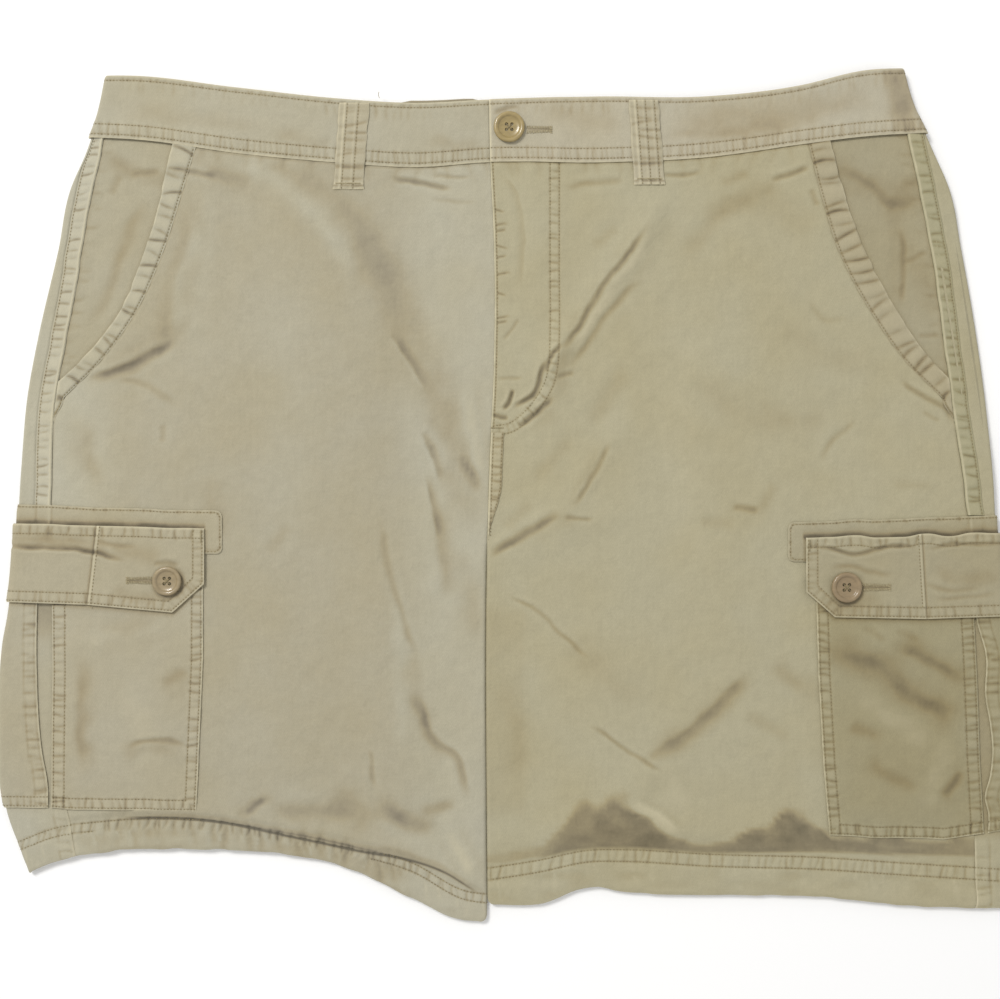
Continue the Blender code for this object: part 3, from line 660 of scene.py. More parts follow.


def washed_twill(name, dye):
    """Cotton twill, dyed as yarn and garment washed: matt, uneven in shade, pale where it rubs, and painted
    darker in hollows as shade.
    """
    material, tree, shader = principled(name)
    shader.inputs["Roughness"].default_value = 0.92
    shader.inputs["Sheen Weight"].default_value = 0.06   # the short nap of washed cotton
    shader.inputs["Sheen Roughness"].default_value = 0.6
    shader.inputs["Specular IOR Level"].default_value = 0.15
    place = node(tree, "ShaderNodeTexCoord")
    # The wash leaves the shade even but the hue not: some patches are tan, others greyer.
    patches = noise(tree, place, "Object", MOTTLE, 2.5)
    wash = two_shades(tree, patches, (0.36, linear(dye, 0.985, 0.3)), (0.64, linear(dye, 1.01, -0.25)))
    small_gain = spread(tree, noise(tree, place, "Object", SMALL_MOTTLE, 4.0), 0.3, 0.7, 0.975, 1.02)
    # Twill lines climb to the right at about 60 degrees.
    turned = node(tree, "ShaderNodeMapping", [
        ("Vector", place, "Object"), ("Rotation", None, (0, 0, math.radians(30))),
    ])
    lines = node(tree, "ShaderNodeTexWave", [
        ("Vector", turned, "Vector"), ("Scale", None, 0.314 / (TWILL_PITCH * MM)), ("Distortion", None, 1.4),
        ("Detail", None, 2.0), ("Detail Scale", None, 1.6),
    ], wave_type="BANDS", bands_direction="X")
    line_gain = spread(tree, lines, 0, 1, 0.98, 1.02)
    # Slubs are yarns that run thicker or paler for a few centimetres along the warp.
    warp = node(tree, "ShaderNodeMapping", [("Vector", place, "Object"), ("Scale", None, (1, 0.09, 1))])
    slubs = noise(tree, warp, "Vector", SLUB)
    slub_gain = spread(tree, slubs, 0.3, 0.7, 0.985, 1.015)
    # The weave's tooth: single yarns take the wash a little differently.
    tooth_gain = spread(tree, noise(tree, place, "Object", TOOTH, 1.0), 0.25, 0.75, 0.95, 1.045)
    gains = small_gain
    for more in (line_gain, slub_gain, tooth_gain):
        gains = node(tree, "ShaderNodeMath", [(0, gains, 0), (1, more, 0)], operation="MULTIPLY")
    ground = node(tree, "ShaderNodeVectorMath", [(0, wash, "Color"), ("Scale", gains, 0)], operation="SCALE")
    # Seams and ridges are abraded pale. Hollows are painted darker as shade: tan where shallow, with the dye
    # they keep, and grey where deepest.
    wear_and_shade = node(tree, "ShaderNodeAttribute", attribute_name="wear_and_shade")
    broken_gain = spread(tree, noise(tree, place, "Object", WORN_AND_SHADED_SPECK, 4.0), 0.3, 0.7, 0.9, 1.1)
    worn_and_shaded = node(tree, "ShaderNodeMath", [(0, wear_and_shade, "Fac"), (1, broken_gain, 0)], operation="MULTIPLY")
    ridge = node(tree, "ShaderNodeMapRange", [("Value", worn_and_shaded, 0), ("To Max", None, 0.8)])
    pale = node(tree, "ShaderNodeMixRGB", [
        ("Fac", ridge, 0), ("Color1", ground, 0), ("Color2", None, linear(WORN_DYE)),
    ])
    dip = node(tree, "ShaderNodeMapRange", [("Value", worn_and_shaded, 0), ("From Max", None, -DEEPEST)])
    shade = node(tree, "ShaderNodeValToRGB", [("Fac", dip, 0)])
    shade.color_ramp.elements[0].color = (1, 1, 1, 1)
    shade.color_ramp.elements.new(0.3).color = (*KEPT_TAN_AND_SHADE, 1)
    shade.color_ramp.elements.new(0.65).color = (*HALF_SHADE, 1)
    shade.color_ramp.elements[3].color = (*IN_SHADE, 1)
    colour = node(tree, "ShaderNodeMixRGB", [
        ("Fac", None, 1.0), ("Color1", pale, 0), ("Color2", shade, "Color"),
    ], blend_type="MULTIPLY")
    tree.links.new(colour.outputs[0], shader.inputs["Base Color"])
    # The yarns' relief, and the softer one of cloth that was washed and never pressed.
    grain = node(tree, "ShaderNodeMath", [(0, lines, "Fac"), (1, slubs, "Fac")], operation="ADD")
    relief = node(tree, "ShaderNodeBump", [
        ("Height", grain, 0), ("Distance", None, 0.00005), ("Strength", None, 0.6),
    ])
    rumpled = noise(tree, place, "Object", RUMPLE, 3.0)
    relief = node(tree, "ShaderNodeBump", [
        ("Height", rumpled, "Fac"), ("Distance", None, 0.0016), ("Strength", None, 0.9),
        ("Normal", relief, "Normal"),
    ])
    tree.links.new(relief.outputs["Normal"], shader.inputs["Normal"])
    return material


def twills(use, right_dye, left_dye):
    """The same twill for one use on both sides, which have faded differently. Most of the left's dyes are
    also darker as painted shade, for the side farther from the light.
    """
    return {
        "right": washed_twill("Washed khaki twill, right " + use, right_dye),
        "left": washed_twill("Washed khaki twill, left " + use, left_dye),
    }


TWILL = twills("leg", "#A9A490", "#A59E83")

STITCH_SPACING = 2.1
STITCH_LENGTH = 1.35
THREAD_WIDTH = 0.62
THREAD_TWIST = 0.9     # of its plies, coarser than real, to show at all


def cotton_thread(name, dark, light):
    """Polyester-cotton thread, dyed to match: smoother than the cloth, so each stitch has a small glint."""
    material, tree, shader = principled(name)
    shader.inputs["Roughness"].default_value = 0.62
    twist = noise(tree, node(tree, "ShaderNodeTexCoord"), "Object", THREAD_TWIST)
    dye = two_shades(tree, twist, (0.35, linear(dark)), (0.7, linear(light)))
    tree.links.new(dye.outputs["Color"], shader.inputs["Base Color"])
    return material


def lockstitch():
    """The tree that sews: one small spindle for each stitch along the seam lines."""
    tree = bpy.data.node_groups.new("Lockstitch", "GeometryNodeTree")
    sockets = tree.interface
    sockets.new_socket("Seam lines", in_out="INPUT", socket_type="NodeSocketGeometry")
    for label, value in (("Spacing", 0.003), ("Length", 0.002), ("Width", 0.0005), ("Turn", 0.0)):
        sockets.new_socket(label, in_out="INPUT", socket_type="NodeSocketFloat").default_value = value
    sockets.new_socket("Thread", in_out="INPUT", socket_type="NodeSocketMaterial")
    sockets.new_socket("Stitches", in_out="OUTPUT", socket_type="NodeSocketGeometry")
    given = node(tree, "NodeGroupInput")
    lines = node(tree, "GeometryNodeMeshToCurve", [("Mesh", given, "Seam lines")])
    steps = node(tree, "GeometryNodeResampleCurve", [
        ("Curve", lines, 0), ("Length", given, "Spacing"),
    ], mode="LENGTH")
    ball = node(tree, "GeometryNodeMeshUVSphere", [
        ("Segments", None, 5), ("Rings", None, 3), ("Radius", None, 0.5),
    ])
    size = node(tree, "ShaderNodeCombineXYZ", [
        ("X", given, "Length"), ("Y", given, "Width"), ("Z", given, "Width"),
    ])
    spindle = node(tree, "GeometryNodeTransform", [("Geometry", ball, "Mesh"), ("Scale", size, 0)])
    tangent = node(tree, "GeometryNodeInputTangent")
    out = node(tree, "GeometryNodeInputNamedAttribute", [("Name", None, "out")], data_type="FLOAT_VECTOR")
    ahead = node(tree, "FunctionNodeAlignRotationToVector", [("Vector", tangent, 0)], axis="X")
    level = node(tree, "FunctionNodeAlignRotationToVector", [
        ("Rotation", ahead, 0), ("Vector", out, 0),
    ], axis="Z", pivot_axis="X")
    sway = node(tree, "FunctionNodeRandomValue", [
        (2, None, -0.12), (3, None, 0.12), ("Seed", None, 4),
    ], data_type="FLOAT")
    turn = node(tree, "ShaderNodeMath", [(0, given, "Turn"), (1, sway, 1)], operation="ADD")
    about = node(tree, "ShaderNodeCombineXYZ", [("Z", turn, 0)])
    facing = node(tree, "FunctionNodeRotateRotation", [
        ("Rotation", level, 0), ("Rotate By", about, 0),
    ], rotation_space="LOCAL")
    vary = node(tree, "FunctionNodeRandomValue", [
        (0, None, (0.85, 0.85, 0.85)), (1, None, (1.12, 1.15, 1.0)), ("Seed", None, 9),
    ], data_type="FLOAT_VECTOR")
    placed = node(tree, "GeometryNodeInstanceOnPoints", [
        ("Points", steps, 0), ("Instance", spindle, 0), ("Rotation", facing, 0), ("Scale", vary, 0),
    ])
    real = node(tree, "GeometryNodeRealizeInstances", [("Geometry", placed, 0)])
    dyed = node(tree, "GeometryNodeSetMaterial", [("Geometry", real, 0), ("Material", given, "Thread")])
    node(tree, "NodeGroupOutput", [("Stitches", dyed, 0)])
    return tree


THREAD = cotton_thread("Khaki sewing thread", "#74664A", "#94875F")
FADED_THREAD = cotton_thread("Faded khaki thread, bar tacks and buttonholes", "#8A7D5E", "#ADA27F")
LOCKSTITCH = lockstitch()


def sew(
    name, lines, spacing=STITCH_SPACING, length=STITCH_LENGTH, width=THREAD_WIDTH, turn=0.0, thread=THREAD,
):
    """Stitches along lines. A line is its points and the directions out of the cloth there."""
    mesh = bpy.data.meshes.new(name)
    places = np.concatenate([points for points, out in lines])
    outs = np.concatenate([np.broadcast_to(out, points.shape) for points, out in lines])
    edges = []
    first = 0
    for points, out in lines:
        edges += [(first + i, first + i + 1) for i in range(len(points) - 1)]
        first += len(points)
    mesh.from_pydata((places * MM).tolist(), edges, [])
    facing = mesh.attributes.new("out", "FLOAT_VECTOR", "POINT")
    facing.data.foreach_set("vector", outs.ravel().astype(np.float32))
    draft = linked(name + "_draft", mesh)
    sewing = draft.modifiers.new("sewing", "NODES")
    sewing.node_group = LOCKSTITCH
    given = {
        "Spacing": spacing * MM, "Length": length * MM, "Width": width * MM, "Turn": turn, "Thread": thread,
    }
    for item in LOCKSTITCH.interface.items_tree:
        if item.name in given:
            sewing[item.identifier] = given[item.name]
    piece = plain(draft, name)
    piece.data.shade_smooth()
    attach(piece, "root")
    return piece


UP = np.array([0.0, 0.0, 1.0])
STITCH_PROUD = 0.1


def on_front(face, x, y):
    """A seam line on a piece that lies on the front."""
    x, y = np.broadcast_arrays(np.asarray(x, float), np.asarray(y, float))
    return np.stack([x, y, face(x, y)[0] + STITCH_PROUD], -1), UP


def on_path(face, path, count):
    """A seam line on the front that turns at each of a few points."""
    path = np.array(path, float)
    share = np.linspace(0, len(path) - 1, count)
    x, y = (np.interp(share, range(len(path)), path[:, i]) for i in (0, 1))
    return on_front(face, x, y)


def on_round(side, s, row, start, end, out):
    """A seam line along a row of a piece that goes round the fold."""
    shares = np.asarray(s, float)[None, :]
    level = np.zeros((1, 1))
    near = around(side, shares, level, row, row, start, end, out, STITCH_PROUD)[0][0]
    far = around(side, shares, level, row, row, start, end, out, STITCH_PROUD + 1)[0][0]
    off_table = np.maximum(near[:, 2:], 0.5 * THREAD_WIDTH)
    return np.concatenate([near[:, :2], off_table], 1), far - near


def inseam_drop(side, x, y):
    """How far the panels round over the inseam, below the crotch."""
    radius = (settled(x, y) - back_height(side, x, y)) / 2
    inset = np.clip(side.sign * (x - centre(y)) - SEAM_GAP / 2, 0, None) + INSEAM_TIP * radius
    over = np.clip(radius - inset, 0, None)
    return soften(y, *CROTCH_RAMP) * (radius - np.sqrt(radius ** 2 - over ** 2))


SEAM_STRIP = 10.5
UNDER_STRIP = 0.9      # the back panel's edge is turned under the side seam
BAND_TUCK = 0.5        # panels run this far under the waistband
PATCH_TOP = {"right": -8, "left": -14}

# Shallow ridges on the back, which lies on the table: height, widths left and right, and line.
BACK_CREASES = {
    "right": (
        (0.6, 6, 9, ((-40, 150), (-90, 110), (-150, 90))),
        (0.5, 8, 6, ((-60, 40), (-110, 10), (-170, 4))),
        (0.7, 5, 8, ((-20, -20), (-60, -50), (-110, -66))),
        (0.5, 7, 7, ((-190, 60), (-200, 10), (-180, -50))),
        (0.6, 6, 6, ((-60, -120), (-110, -150), (-170, -160))),
    ),
    "left": (
        (0.6, 8, 6, ((20, 130), (70, 100), (130, 96))),
        (0.5, 6, 8, ((40, 30), (90, 20), (160, 34))),
        (0.7, 8, 5, ((6, -30), (50, -52), (100, -60))),
        (0.5, 6, 6, ((180, 40), (190, -10), (170, -60))),
        (0.6, 7, 5, ((50, -130), (100, -150), (160, -150))),
    ),
}


panel_top = offset(waist_seam, BAND_TUCK)


def inner_edge(side):
    return lambda y: side.sign * centre(y) + SEAM_GAP / 2


def in_hem(side):
    """Which places are in the hem, that is, below its upper row."""
    return lambda x, y: y < side.hem_stitch(x) + 0.5


def hem_finish(side, x, y):
    """The hem: folded at its edge, with two rows above it and pale ticks where the feed drew it along."""
    above = y - side.hem_edge(x)
    down = side.hem_stitch(x) - y
    lower = side.lower_row
    groove = bump(down, 0.8) + bump(down - lower, 0.8) * (1 - window(x, *side.one_row, 5))
    # Under the right leg's bulge the hem is drawn up more, and it is painted darker there as the bulge's
    # shade.
    drawn = 1.0 + (0.9 * window(x, -255, -60, 20) if side is RIGHT else 0.0)
    tops, hollow = puckers(down, x - 0.1 * y, 0, lower, 4 + side.sign, 4.6, 0.9)
    between = soften(down, -2.5, 0.5) * (1 - soften(down, lower - 0.5, lower + 3.5))
    ticks = puckers(down, x + 0.05 * y, lower, lower + 14, 9 + side.sign, 9.5, 0.7)[1]
    wide_tops, wide_hollow = puckers(above, x, 1, 16, 12 + side.sign, 9.0, 2.0)
    below = soften(down, lower, lower + 2) * soften(above, 0.5, 3)
    shade = wander(x, 3 * y, 17, 35) * below
    rise = 0.3 * drawn * between * (tops - 0.5 - 0.7 * hollow) - 0.2 * groove
    rise = rise + 0.5 * (drawn - 1) * (wide_tops - 0.5 - wide_hollow) - 0.4 * (1 - ramp(above, 0, 1.2)) ** 2
    # Pucker hollows and stitch grooves are painted darker as shade. Pucker tops and the ticks are paler.
    wear_and_shade = between * (0.12 * tops - 0.5 * hollow) - 0.4 * groove + 0.3 * below * ticks
    wear_and_shade = wear_and_shade - 0.45 * (drawn - 1) * (0.5 + wide_hollow)
    edge = (0.1 + 0.2 * wander(x, 5.0, 8, 36)) * (1 - ramp(above, 0.3, 1.4))
    return rise + 0.15 * below * ticks + 0.2 * shade, wear_and_shade + edge + 0.13 * shade


def back_out(side):
    def out(x, y, w):
        across = np.abs(x)
        front = w < 0
        rise, wear_and_shade = hem_finish(side, x, y)
        from_seam = across - side.seam(y)
        above_pocket = soften(y, PATCH_TOP[side.name] - 3, PATCH_TOP[side.name] + 1)
        under = 1 - soften(from_seam, SEAM_STRIP - 0.4, SEAM_STRIP + 1.1)
        rise = rise - np.where(front, UNDER_STRIP * under * above_pocket, 0)
        ridge, wear_and_shade_part = edge_finish(from_seam, y, (9.4,), 7 + side.sign, pucker=0.3, pitch=7.5)
        below_pocket = 1 - soften(y, side.pocket_foot - 2, side.pocket_foot + 4)
        rise = rise + np.where(front, below_pocket * (ridge + 0.25 * (1 - soften(from_seam, 7, 10))), 0)
        wear_and_shade = wear_and_shade + np.where(front, below_pocket * wear_and_shade_part, 0)
        # Inside the cargo pocket's slit the cloth is painted darker as shade. On the right the painted shade
        # is darkest just under the flap.
        slit = soften(y, side.pocket_foot, side.pocket_foot + 10) * (1 - soften(y, -46, -38))
        shade = 0.42 if side is LEFT else 0.12 + 0.4 * soften(y, -98, -76)
        wear_and_shade = wear_and_shade - np.where(front, shade * slit, 0)
        folds, wear_and_shade_part = creased(x, y, BACK_CREASES[side.name])
        seat = side.sign * (x - centre(y))
        flat, worn_and_shaded = stitched(seat, y, (1.6, 8.2) if side is LEFT else (0.0,), 3, pucker=0.25)
        behind = soften(w, 6, 20)
        rise = rise - behind * (np.maximum(folds, 0) + np.maximum(-flat, 0) + inseam_drop(side, x, y))
        return rise, wear_and_shade + behind * (0.6 * wear_and_shade_part + worn_and_shaded * soften(y, -52, -12))
    return out


for side in SIDES:
    edges = (offset(side.seam, SEAM_GAP / 2), inner_edge(side), back_out(side))
    s = round_shares(24, 295, 1.1, 6.0)
    v = graded(475, 3.2, 1.2, start=2, end=28, blend=14)[:, None]
    points, wear_and_shade = around(side, s, v, panel_top, side.hem_edge, *edges)
    piece = cloth("Back_panel_" + side.name, points, wear_and_shade, TWILL[side.name], hem=in_hem(side))
    share = np.linspace(0, 3, 220)
    rows = [
        on_round(side, share, side.hem_stitch, *edges),
        on_round(side, share, offset(side.hem_stitch, -side.lower_row), *edges),
        on_round(side, np.linspace(2.05, 3, 90), offset(waist_seam, -1.8), *edges),
    ]
    thread = sew("Back_hem_stitching_" + side.name, rows)
    sewn(piece, "back_" + side.name)


# ---------------------------------------------------------------- front panels
# One front panel for each leg, of the same twill. The two meet at the fly, whose edge on the
# left is turned and stitched over a zip that the closed fly hides, and at the rounded inseam.

RIGHT_MOUTH = (  # height, stitching inside the slanted mouth, the mouth's edge
    (225, 195, 211), (189, 206, 219), (153, 218, 230), (113, 237, 248), (85, 258, 271), (62, 281, 296),
)
LEFT_MOUTH = (  # height, stitching inside the slanted mouth, the mouth's edge
    (225, 191, 205), (189, 200, 215), (153, 212, 229), (113, 234, 251), (85, 254, 271), (62, 277, 294),
)
MOUTH_CORNER = 62
MOUTH_END = 47
MOUTH_RAMP = (52, 20)  # the panel rises onto the pocket's bearer this far inside the mouth
MOUTH_LIFT = 1.0
FLY_LIFT = 0.8         # the turned fly edge and the waistband's end lie over the other side
FLY_WIDTH = (46, 30)
FLY_FOOT = 43          # height of the bar tack at the foot of the fly
FLY_ROW = 1.6
FLY_OUTER = (          # the outer row of stitching, which turns in at the foot of the fly
    (33.7, 212), (33.7, 150), (33.6, 98), (33, 84), (30, 70), (22.5, 57), (13, 46.5), (4, 40.5),
    (-7, 38.5),
)
FLY_ROWS = (0.0, 5.8)
SHARP_CREASE = 2.6     # creases narrower than this get the smallest faces

# Creases: height, widths to the left and the right of the line's direction, and the line.
FRONT_CREASES = {
    "right": (
        (-0.9, 1.8, 3, ((-268, 73), (-240, 83), (-208, 98.5))),
        (0.5, 7, 3, ((-201, 185), (-198, 160), (-208, 135), (-210, 98))),
        (-0.35, 2, 2, ((-252, 72), (-237, 72.5), (-208, 57))),
        (-0.5, 4, 4, ((-262, 46), (-266, 30), (-257, 5))),
        (-0.35, 2, 2, ((-218, 46), (-218, 33))),
        (0.7, 10, 6, ((-184, 214), (-151, 203), (-127, 184), (-106, 159), (-90, 130))),
        (-0.6, 1.5, 2, ((-215, 208), (-182, 202))),
        (-0.8, 1.6, 1.6, ((-74, 202), (-52, 198), (-32, 194.5))),
        (-0.4, 1.2, 1.2, ((-47, 203), (-21, 202))),
        (-0.3, 1.5, 1.5, ((-49, 189), (-17.5, 186))),
        (-0.3, 10, 8, ((-102, 183), (-82, 150), (-64, 127))),
        (-0.7, 3.5, 1.2, ((-74, 105), (-62, 86), (-49, 65))),
        (-0.7, 3, 1.2, ((-54, 42), (-47, 26), (-41, 8))),
        (-0.6, 3, 1.2, ((-51, 14), (-45, -8), (-42.5, -30))),
        (-0.8, 3, 3, ((-30, 27), (-22, 14), (-16, 2))),
        (0.5, 3, 5, ((-27, 70), (-20, 38), (-15, 9))),
        (-0.4, 2, 2, ((-81, -13), (-73, -50), (-65, -78), (-55, -107))),
        (-0.6, 6, 3, ((-44, -3), (-41, -32), (-37, -67))),
        (-0.7, 2, 3, ((-55, -128), (-46, -154), (-32, -165), (-24, -194))),
        (-0.4, 1.5, 1.5, ((-86, -160), (-83, -186))),
        (-0.6, 2, 2, ((-166, -202), (-152, -192))),
        (-0.9, 5, 5, ((-150, -200), (-120, -201), (-93, -198))),
        (-0.9, 4, 4, ((-78, -196), (-65, -207), (-45, -213))),
        (-0.7, 3, 3, ((-55, -200), (-31, -196))),
        (0.7, 3, 3, ((-37, -212), (-20, -243))),
        (-0.3, 4, 4, ((-152, -38), (-137, -17))),
    ),
    "left": (
        (-0.8, 1.3, 1.8, ((32, 88), (44, 105), (60, 130), (77, 153), (92, 175))),
        (0.6, 2.0, 3, ((36, 86), (48, 102), (64, 126), (80, 148), (94, 168))),
        (-0.5, 1.6, 2.4, ((39, 80), (56, 103), (70, 123), (89, 140))),
        (-0.6, 1.5, 1.5, ((42, -8), (55, 12), (67, 35))),
        (-0.9, 3, 2, ((-12, -40), (10, -26), (36, -11))),
        (-0.5, 1.5, 1.5, ((36, -14), (56, -15))),
        (-0.5, 4, 4, ((-2, -23), (17, -3))),
        (-0.4, 4, 4, ((17, 9), (44, 37))),
        (-0.5, 5, 5, ((52, 43), (77, 82))),
        (-0.5, 2, 2, ((36, 195), (60, 199), (77, 200))),
        (-0.4, 3, 3, ((54, 158), (72, 171))),
        (-0.6, 1.5, 1.5, ((98, 203), (125, 205))),
        (-0.5, 3, 3, ((135, 198), (156, 205))),
        (-0.8, 1.6, 1.6, ((167, 200), (180, 204), (193, 208))),
        (-0.6, 5, 5, ((110, 148), (140, 180), (166, 191))),
        (-0.5, 2, 2, ((193, 195), (198, 183))),
        (-0.3, 1, 3, ((-7, 206), (6, 194), (9, 186), (9, 130))),
        (-0.4, 1.2, 1.2, ((-2.5, 98), (9, 113))),
        (-0.4, 1.2, 1.2, ((-6, 74), (11, 75))),
        (-1.5, 1.1, 1.3, ((5, 68), (2, 60), (-2, 54))),
        (-1.6, 1.2, 1.6, ((4, 55), (12, 60.5), (18, 65), (21, 73), (26, 88))),
        (-1.2, 1.3, 1.6, ((6, 43.5), (18, 52), (30.5, 63))),
        (-1.2, 1.6, 1.0, ((-9, 51), (-4, 49.5), (2, 49))),
        (-1.0, 1.2, 1.2, ((25, 76), (29, 88), (36, 97))),
        (-0.5, 1.5, 1.5, ((32, 75), (44, 78))),
        (-0.7, 1.6, 1.6, ((250, 75), (256, 68), (266, 63), (281, 54), (284, 44))),
        (-0.4, 1.5, 1.5, ((264, 54), (276, 47))),
        (-0.4, 2, 2, ((199, 20), (208, 35), (223, 49))),
        (-0.4, 3, 3, ((163, -8), (171, 9))),
        (-0.6, 2, 2, ((143, -7), (161, -10))),
        (-0.5, 4, 4, ((120, -15), (147, -20))),
        (-0.3, 3, 3, ((244, 7), (272, 5))),
        (-0.5, 1.4, 1.4, ((-1, -62), (18, -72), (36, -88), (55, -105))),
        (-0.6, 1.4, 1.4, ((52, -145), (79, -163), (102, -177))),
        (0.7, 2, 5, ((79, -193), (96, -203), (112, -215))),
        (-0.5, 5, 2.2, ((157, -109), (134, -134), (116, -150), (84, -170))),
        (-0.4, 4, 4, ((171, -107), (189, -123))),
        (-0.4, 4, 4, ((149, -137), (182, -156))),
        (-0.25, 2, 2, ((193, 125), (201, 113), (218, 113))),
    ),
}
LAP_TICKS = (180.7, 172, 168, 158, 151.5, 140.7, 128, 113, 110)   # small puckers in the fly's lap
# Broad folds: where the cloth sinks they keep the tan of the dye and are painted darker as shade. Depth,
# widths and line, as above.
FRONT_FOLDS = {
    "right": (
        (-0.6, 13, 12, ((-118, 198), (-100, 172), (-80, 142), (-60, 106), (-45, 68), (-34, 34), (-24, -34))),
        (-0.6, 5, 5, ((-192, 207), (-178, 201), (-160, 197))),
        (-0.35, 4, 7, ((-155, 212), (-132, 204), (-112, 192))),
        (-0.3, 6, 9, ((-302, 55), (-306, 10), (-308, -20))),
        (-0.4, 10, 3, ((-264, 68), (-238, 79), (-213, 95), (-200, 118))),
        (-0.35, 7, 8, ((-201, 192), (-200, 155), (-211, 120), (-222, 92))),
        (0.25, 6, 5, ((-190, 200), (-187, 160), (-194, 120), (-200, 85))),
        (-0.28, 9, 7, ((-141, 199), (-112, 188), (-86, 172))),
        (-0.28, 6, 6, ((-189, 16), (-184, -6), (-178, -30))),
        (-0.3, 7, 7, ((-266, 52), (-273, 30), (-262, 8))),
        (0.28, 5, 5, ((-70, -55), (-66, -110), (-65, -168))),
        (-0.3, 4, 6, ((-62, -96), (-57, -125), (-53, -150))),
        (-0.45, 6, 6, ((-62, -122), (-50, -146), (-38, -172))),
        (-0.4, 7, 7, ((-110, -183), (-98, -200), (-84, -210))),
        (-0.5, 7, 6, ((-86, -195), (-62, -203), (-40, -207))),
        (-0.35, 4, 4, ((-172, -205), (-158, -197), (-146, -190))),
        (-0.32, 5, 7, ((-30, -26), (-22, -60), (-18, -95))),
        (0.12, 16, 16, ((-150, 150), (-140, 60), (-135, -40))),
    ),
    "left": (
        (-0.4, 7, 4, ((50, 110), (36, 85), (30, 62), (14, 38))),
        (-0.25, 5, 7, ((88, 168), (60, 128), (38, 96))),
        (-0.3, 5, 4, ((64, 37), (52, 14), (40, -10))),
        (-0.4, 6, 5, ((-8, -36), (20, -22), (52, -14))),
        (-0.3, 4, 4, ((138, -8), (154, -11), (170, -8))),
        (-0.55, 8, 5, ((157, -110), (134, -133), (116, -149), (84, -169))),
        (-0.3, 9, 9, ((165, -105), (185, -118), (205, -126))),
        (-0.25, 9, 7, ((-2, -115), (8, -150), (6, -185))),
        (-0.25, 12, 12, ((150, 186), (180, 180), (200, 168))),
        (0.3, 5, 7, ((94, -164), (108, -185), (113, -206))),
        (-0.4, 6, 7, ((122, 176), (148, 190), (178, 199))),
        (-0.3, 9, 9, ((110, 80), (160, 50), (215, 45))),
        (-0.25, 10, 8, ((36, -90), (60, -112), (90, -134))),
        (-0.25, 8, 8, ((170, 110), (200, 92), (238, 84))),
        (0.18, 16, 14, ((120, 130), (110, 60), (120, -60))),
    ),
}
# Where the cloth bulges over the hem: across and the height of the fold's lip.
LIP = {
    "right": (
        (-320, -206), (-245, -204), (-194, -205.4), (-128, -217.9), (-91.4, -225.7), (-62, -230.8),
        (-37.5, -239.7), (-18.4, -251.8), (0, -262),
    ),
    "left": (
        (0, -233.5), (20, -229.5), (55, -223), (75, -223), (130, -226), (200, -225.5), (245, -227),
        (300, -228), (325, -229),
    ),
}
# The painted shade on the under side of that bulge: across, how far up it goes from the lip, and how dark it
# is painted.
LIP_SHADE = {
    "right": (
        (-320, 1, 0), (-235, 1, 0), (-200, 2, 0.35), (-160, 3, 0.3), (-112, 4, 0.3), (-80, 5, 0.35),
        (-45, 4, 0.3), (-25, 3, 0.2), (0, 2, 0),
    ),
    "left": (
        (0, 5, 0.3), (24, 5, 0.45), (34, 14, 0.75), (44, 27, 0.85), (53, 35, 0.85), (63, 31, 0.9),
        (76, 33, 0.9), (86, 24, 0.95), (102, 12, 0.95), (118, 3, 0.7), (142, 5, 0.7), (152, 12, 0.9),
        (164, 17, 0.95), (177, 27, 1.0), (187, 30, 1.0), (195, 24, 0.95), (205, 12, 0.9),
        (230, 11, 0.85), (270, 11, 0.8), (300, 10, 0.5), (325, 8, 0.3),
    ),
}
LIP_SHOWN = {"right": (-236, -22), "left": (22, 300)}

for side, mouth in ((RIGHT, RIGHT_MOUTH), (LEFT, LEFT_MOUTH)):
    side.mouth = curve(mouth, 2)
    side.mouth_row = curve(mouth, 1)
    side.lip = curve(LIP[side.name])
    side.under_lip = straight(LIP_SHADE[side.name], 1)
    side.under_dark = straight(LIP_SHADE[side.name], 2)


def panel_edge(side):
    """Where the front panel ends: at the mouth's stitching, and below the mouth at the side seam."""
    def edge(y):
        seam = side.seam(y)
        row = np.minimum(side.mouth_row(y), seam)
        return row + (seam - row) * soften(y, MOUTH_CORNER, MOUTH_END - 1) - SEAM_GAP / 2
    return edge


def mouth_lift(side, x, y):
    """The front panel lies on the pocket's bearer near the mouth."""
    inside = side.mouth(y) - np.abs(x)
    return MOUTH_LIFT * soften(inside, *MOUTH_RAMP) * soften(y, 30, 60)


def fly_lift(side, x, y):
    if side is RIGHT:
        return 0.0 * x
    return FLY_LIFT * soften(x, *FLY_WIDTH) * soften(y, -20, 50)


def hang(side, x, y):
    """The front bulges over the hem: a lip, with a painted shadow line under it and painted shade on its
    under side.
    """
    above = y - side.lip(x)
    shown = window(x, *LIP_SHOWN[side.name], 8)
    sharp = 1.0 if side is RIGHT else 0.45
    high = side.under_lip(x) * (1 + 0.3 * wander(x, y, 10, 61))
    under = (1 - soften(above, 0.7 * high, high + 2)) * soften(above, -0.8, 1.2)
    rise = sharp * shown * 1.3 * soften(above, -0.4, 1.2) * bump(np.maximum(above - 1.2, 0), 9)
    wear_and_shade = -0.9 * side.under_dark(x) * under * (1 + 0.2 * wander(x, 1.6 * y, 9, 62))
    return rise, wear_and_shade - sharp * shown * 1.1 * bump(above + 0.5, 0.85)


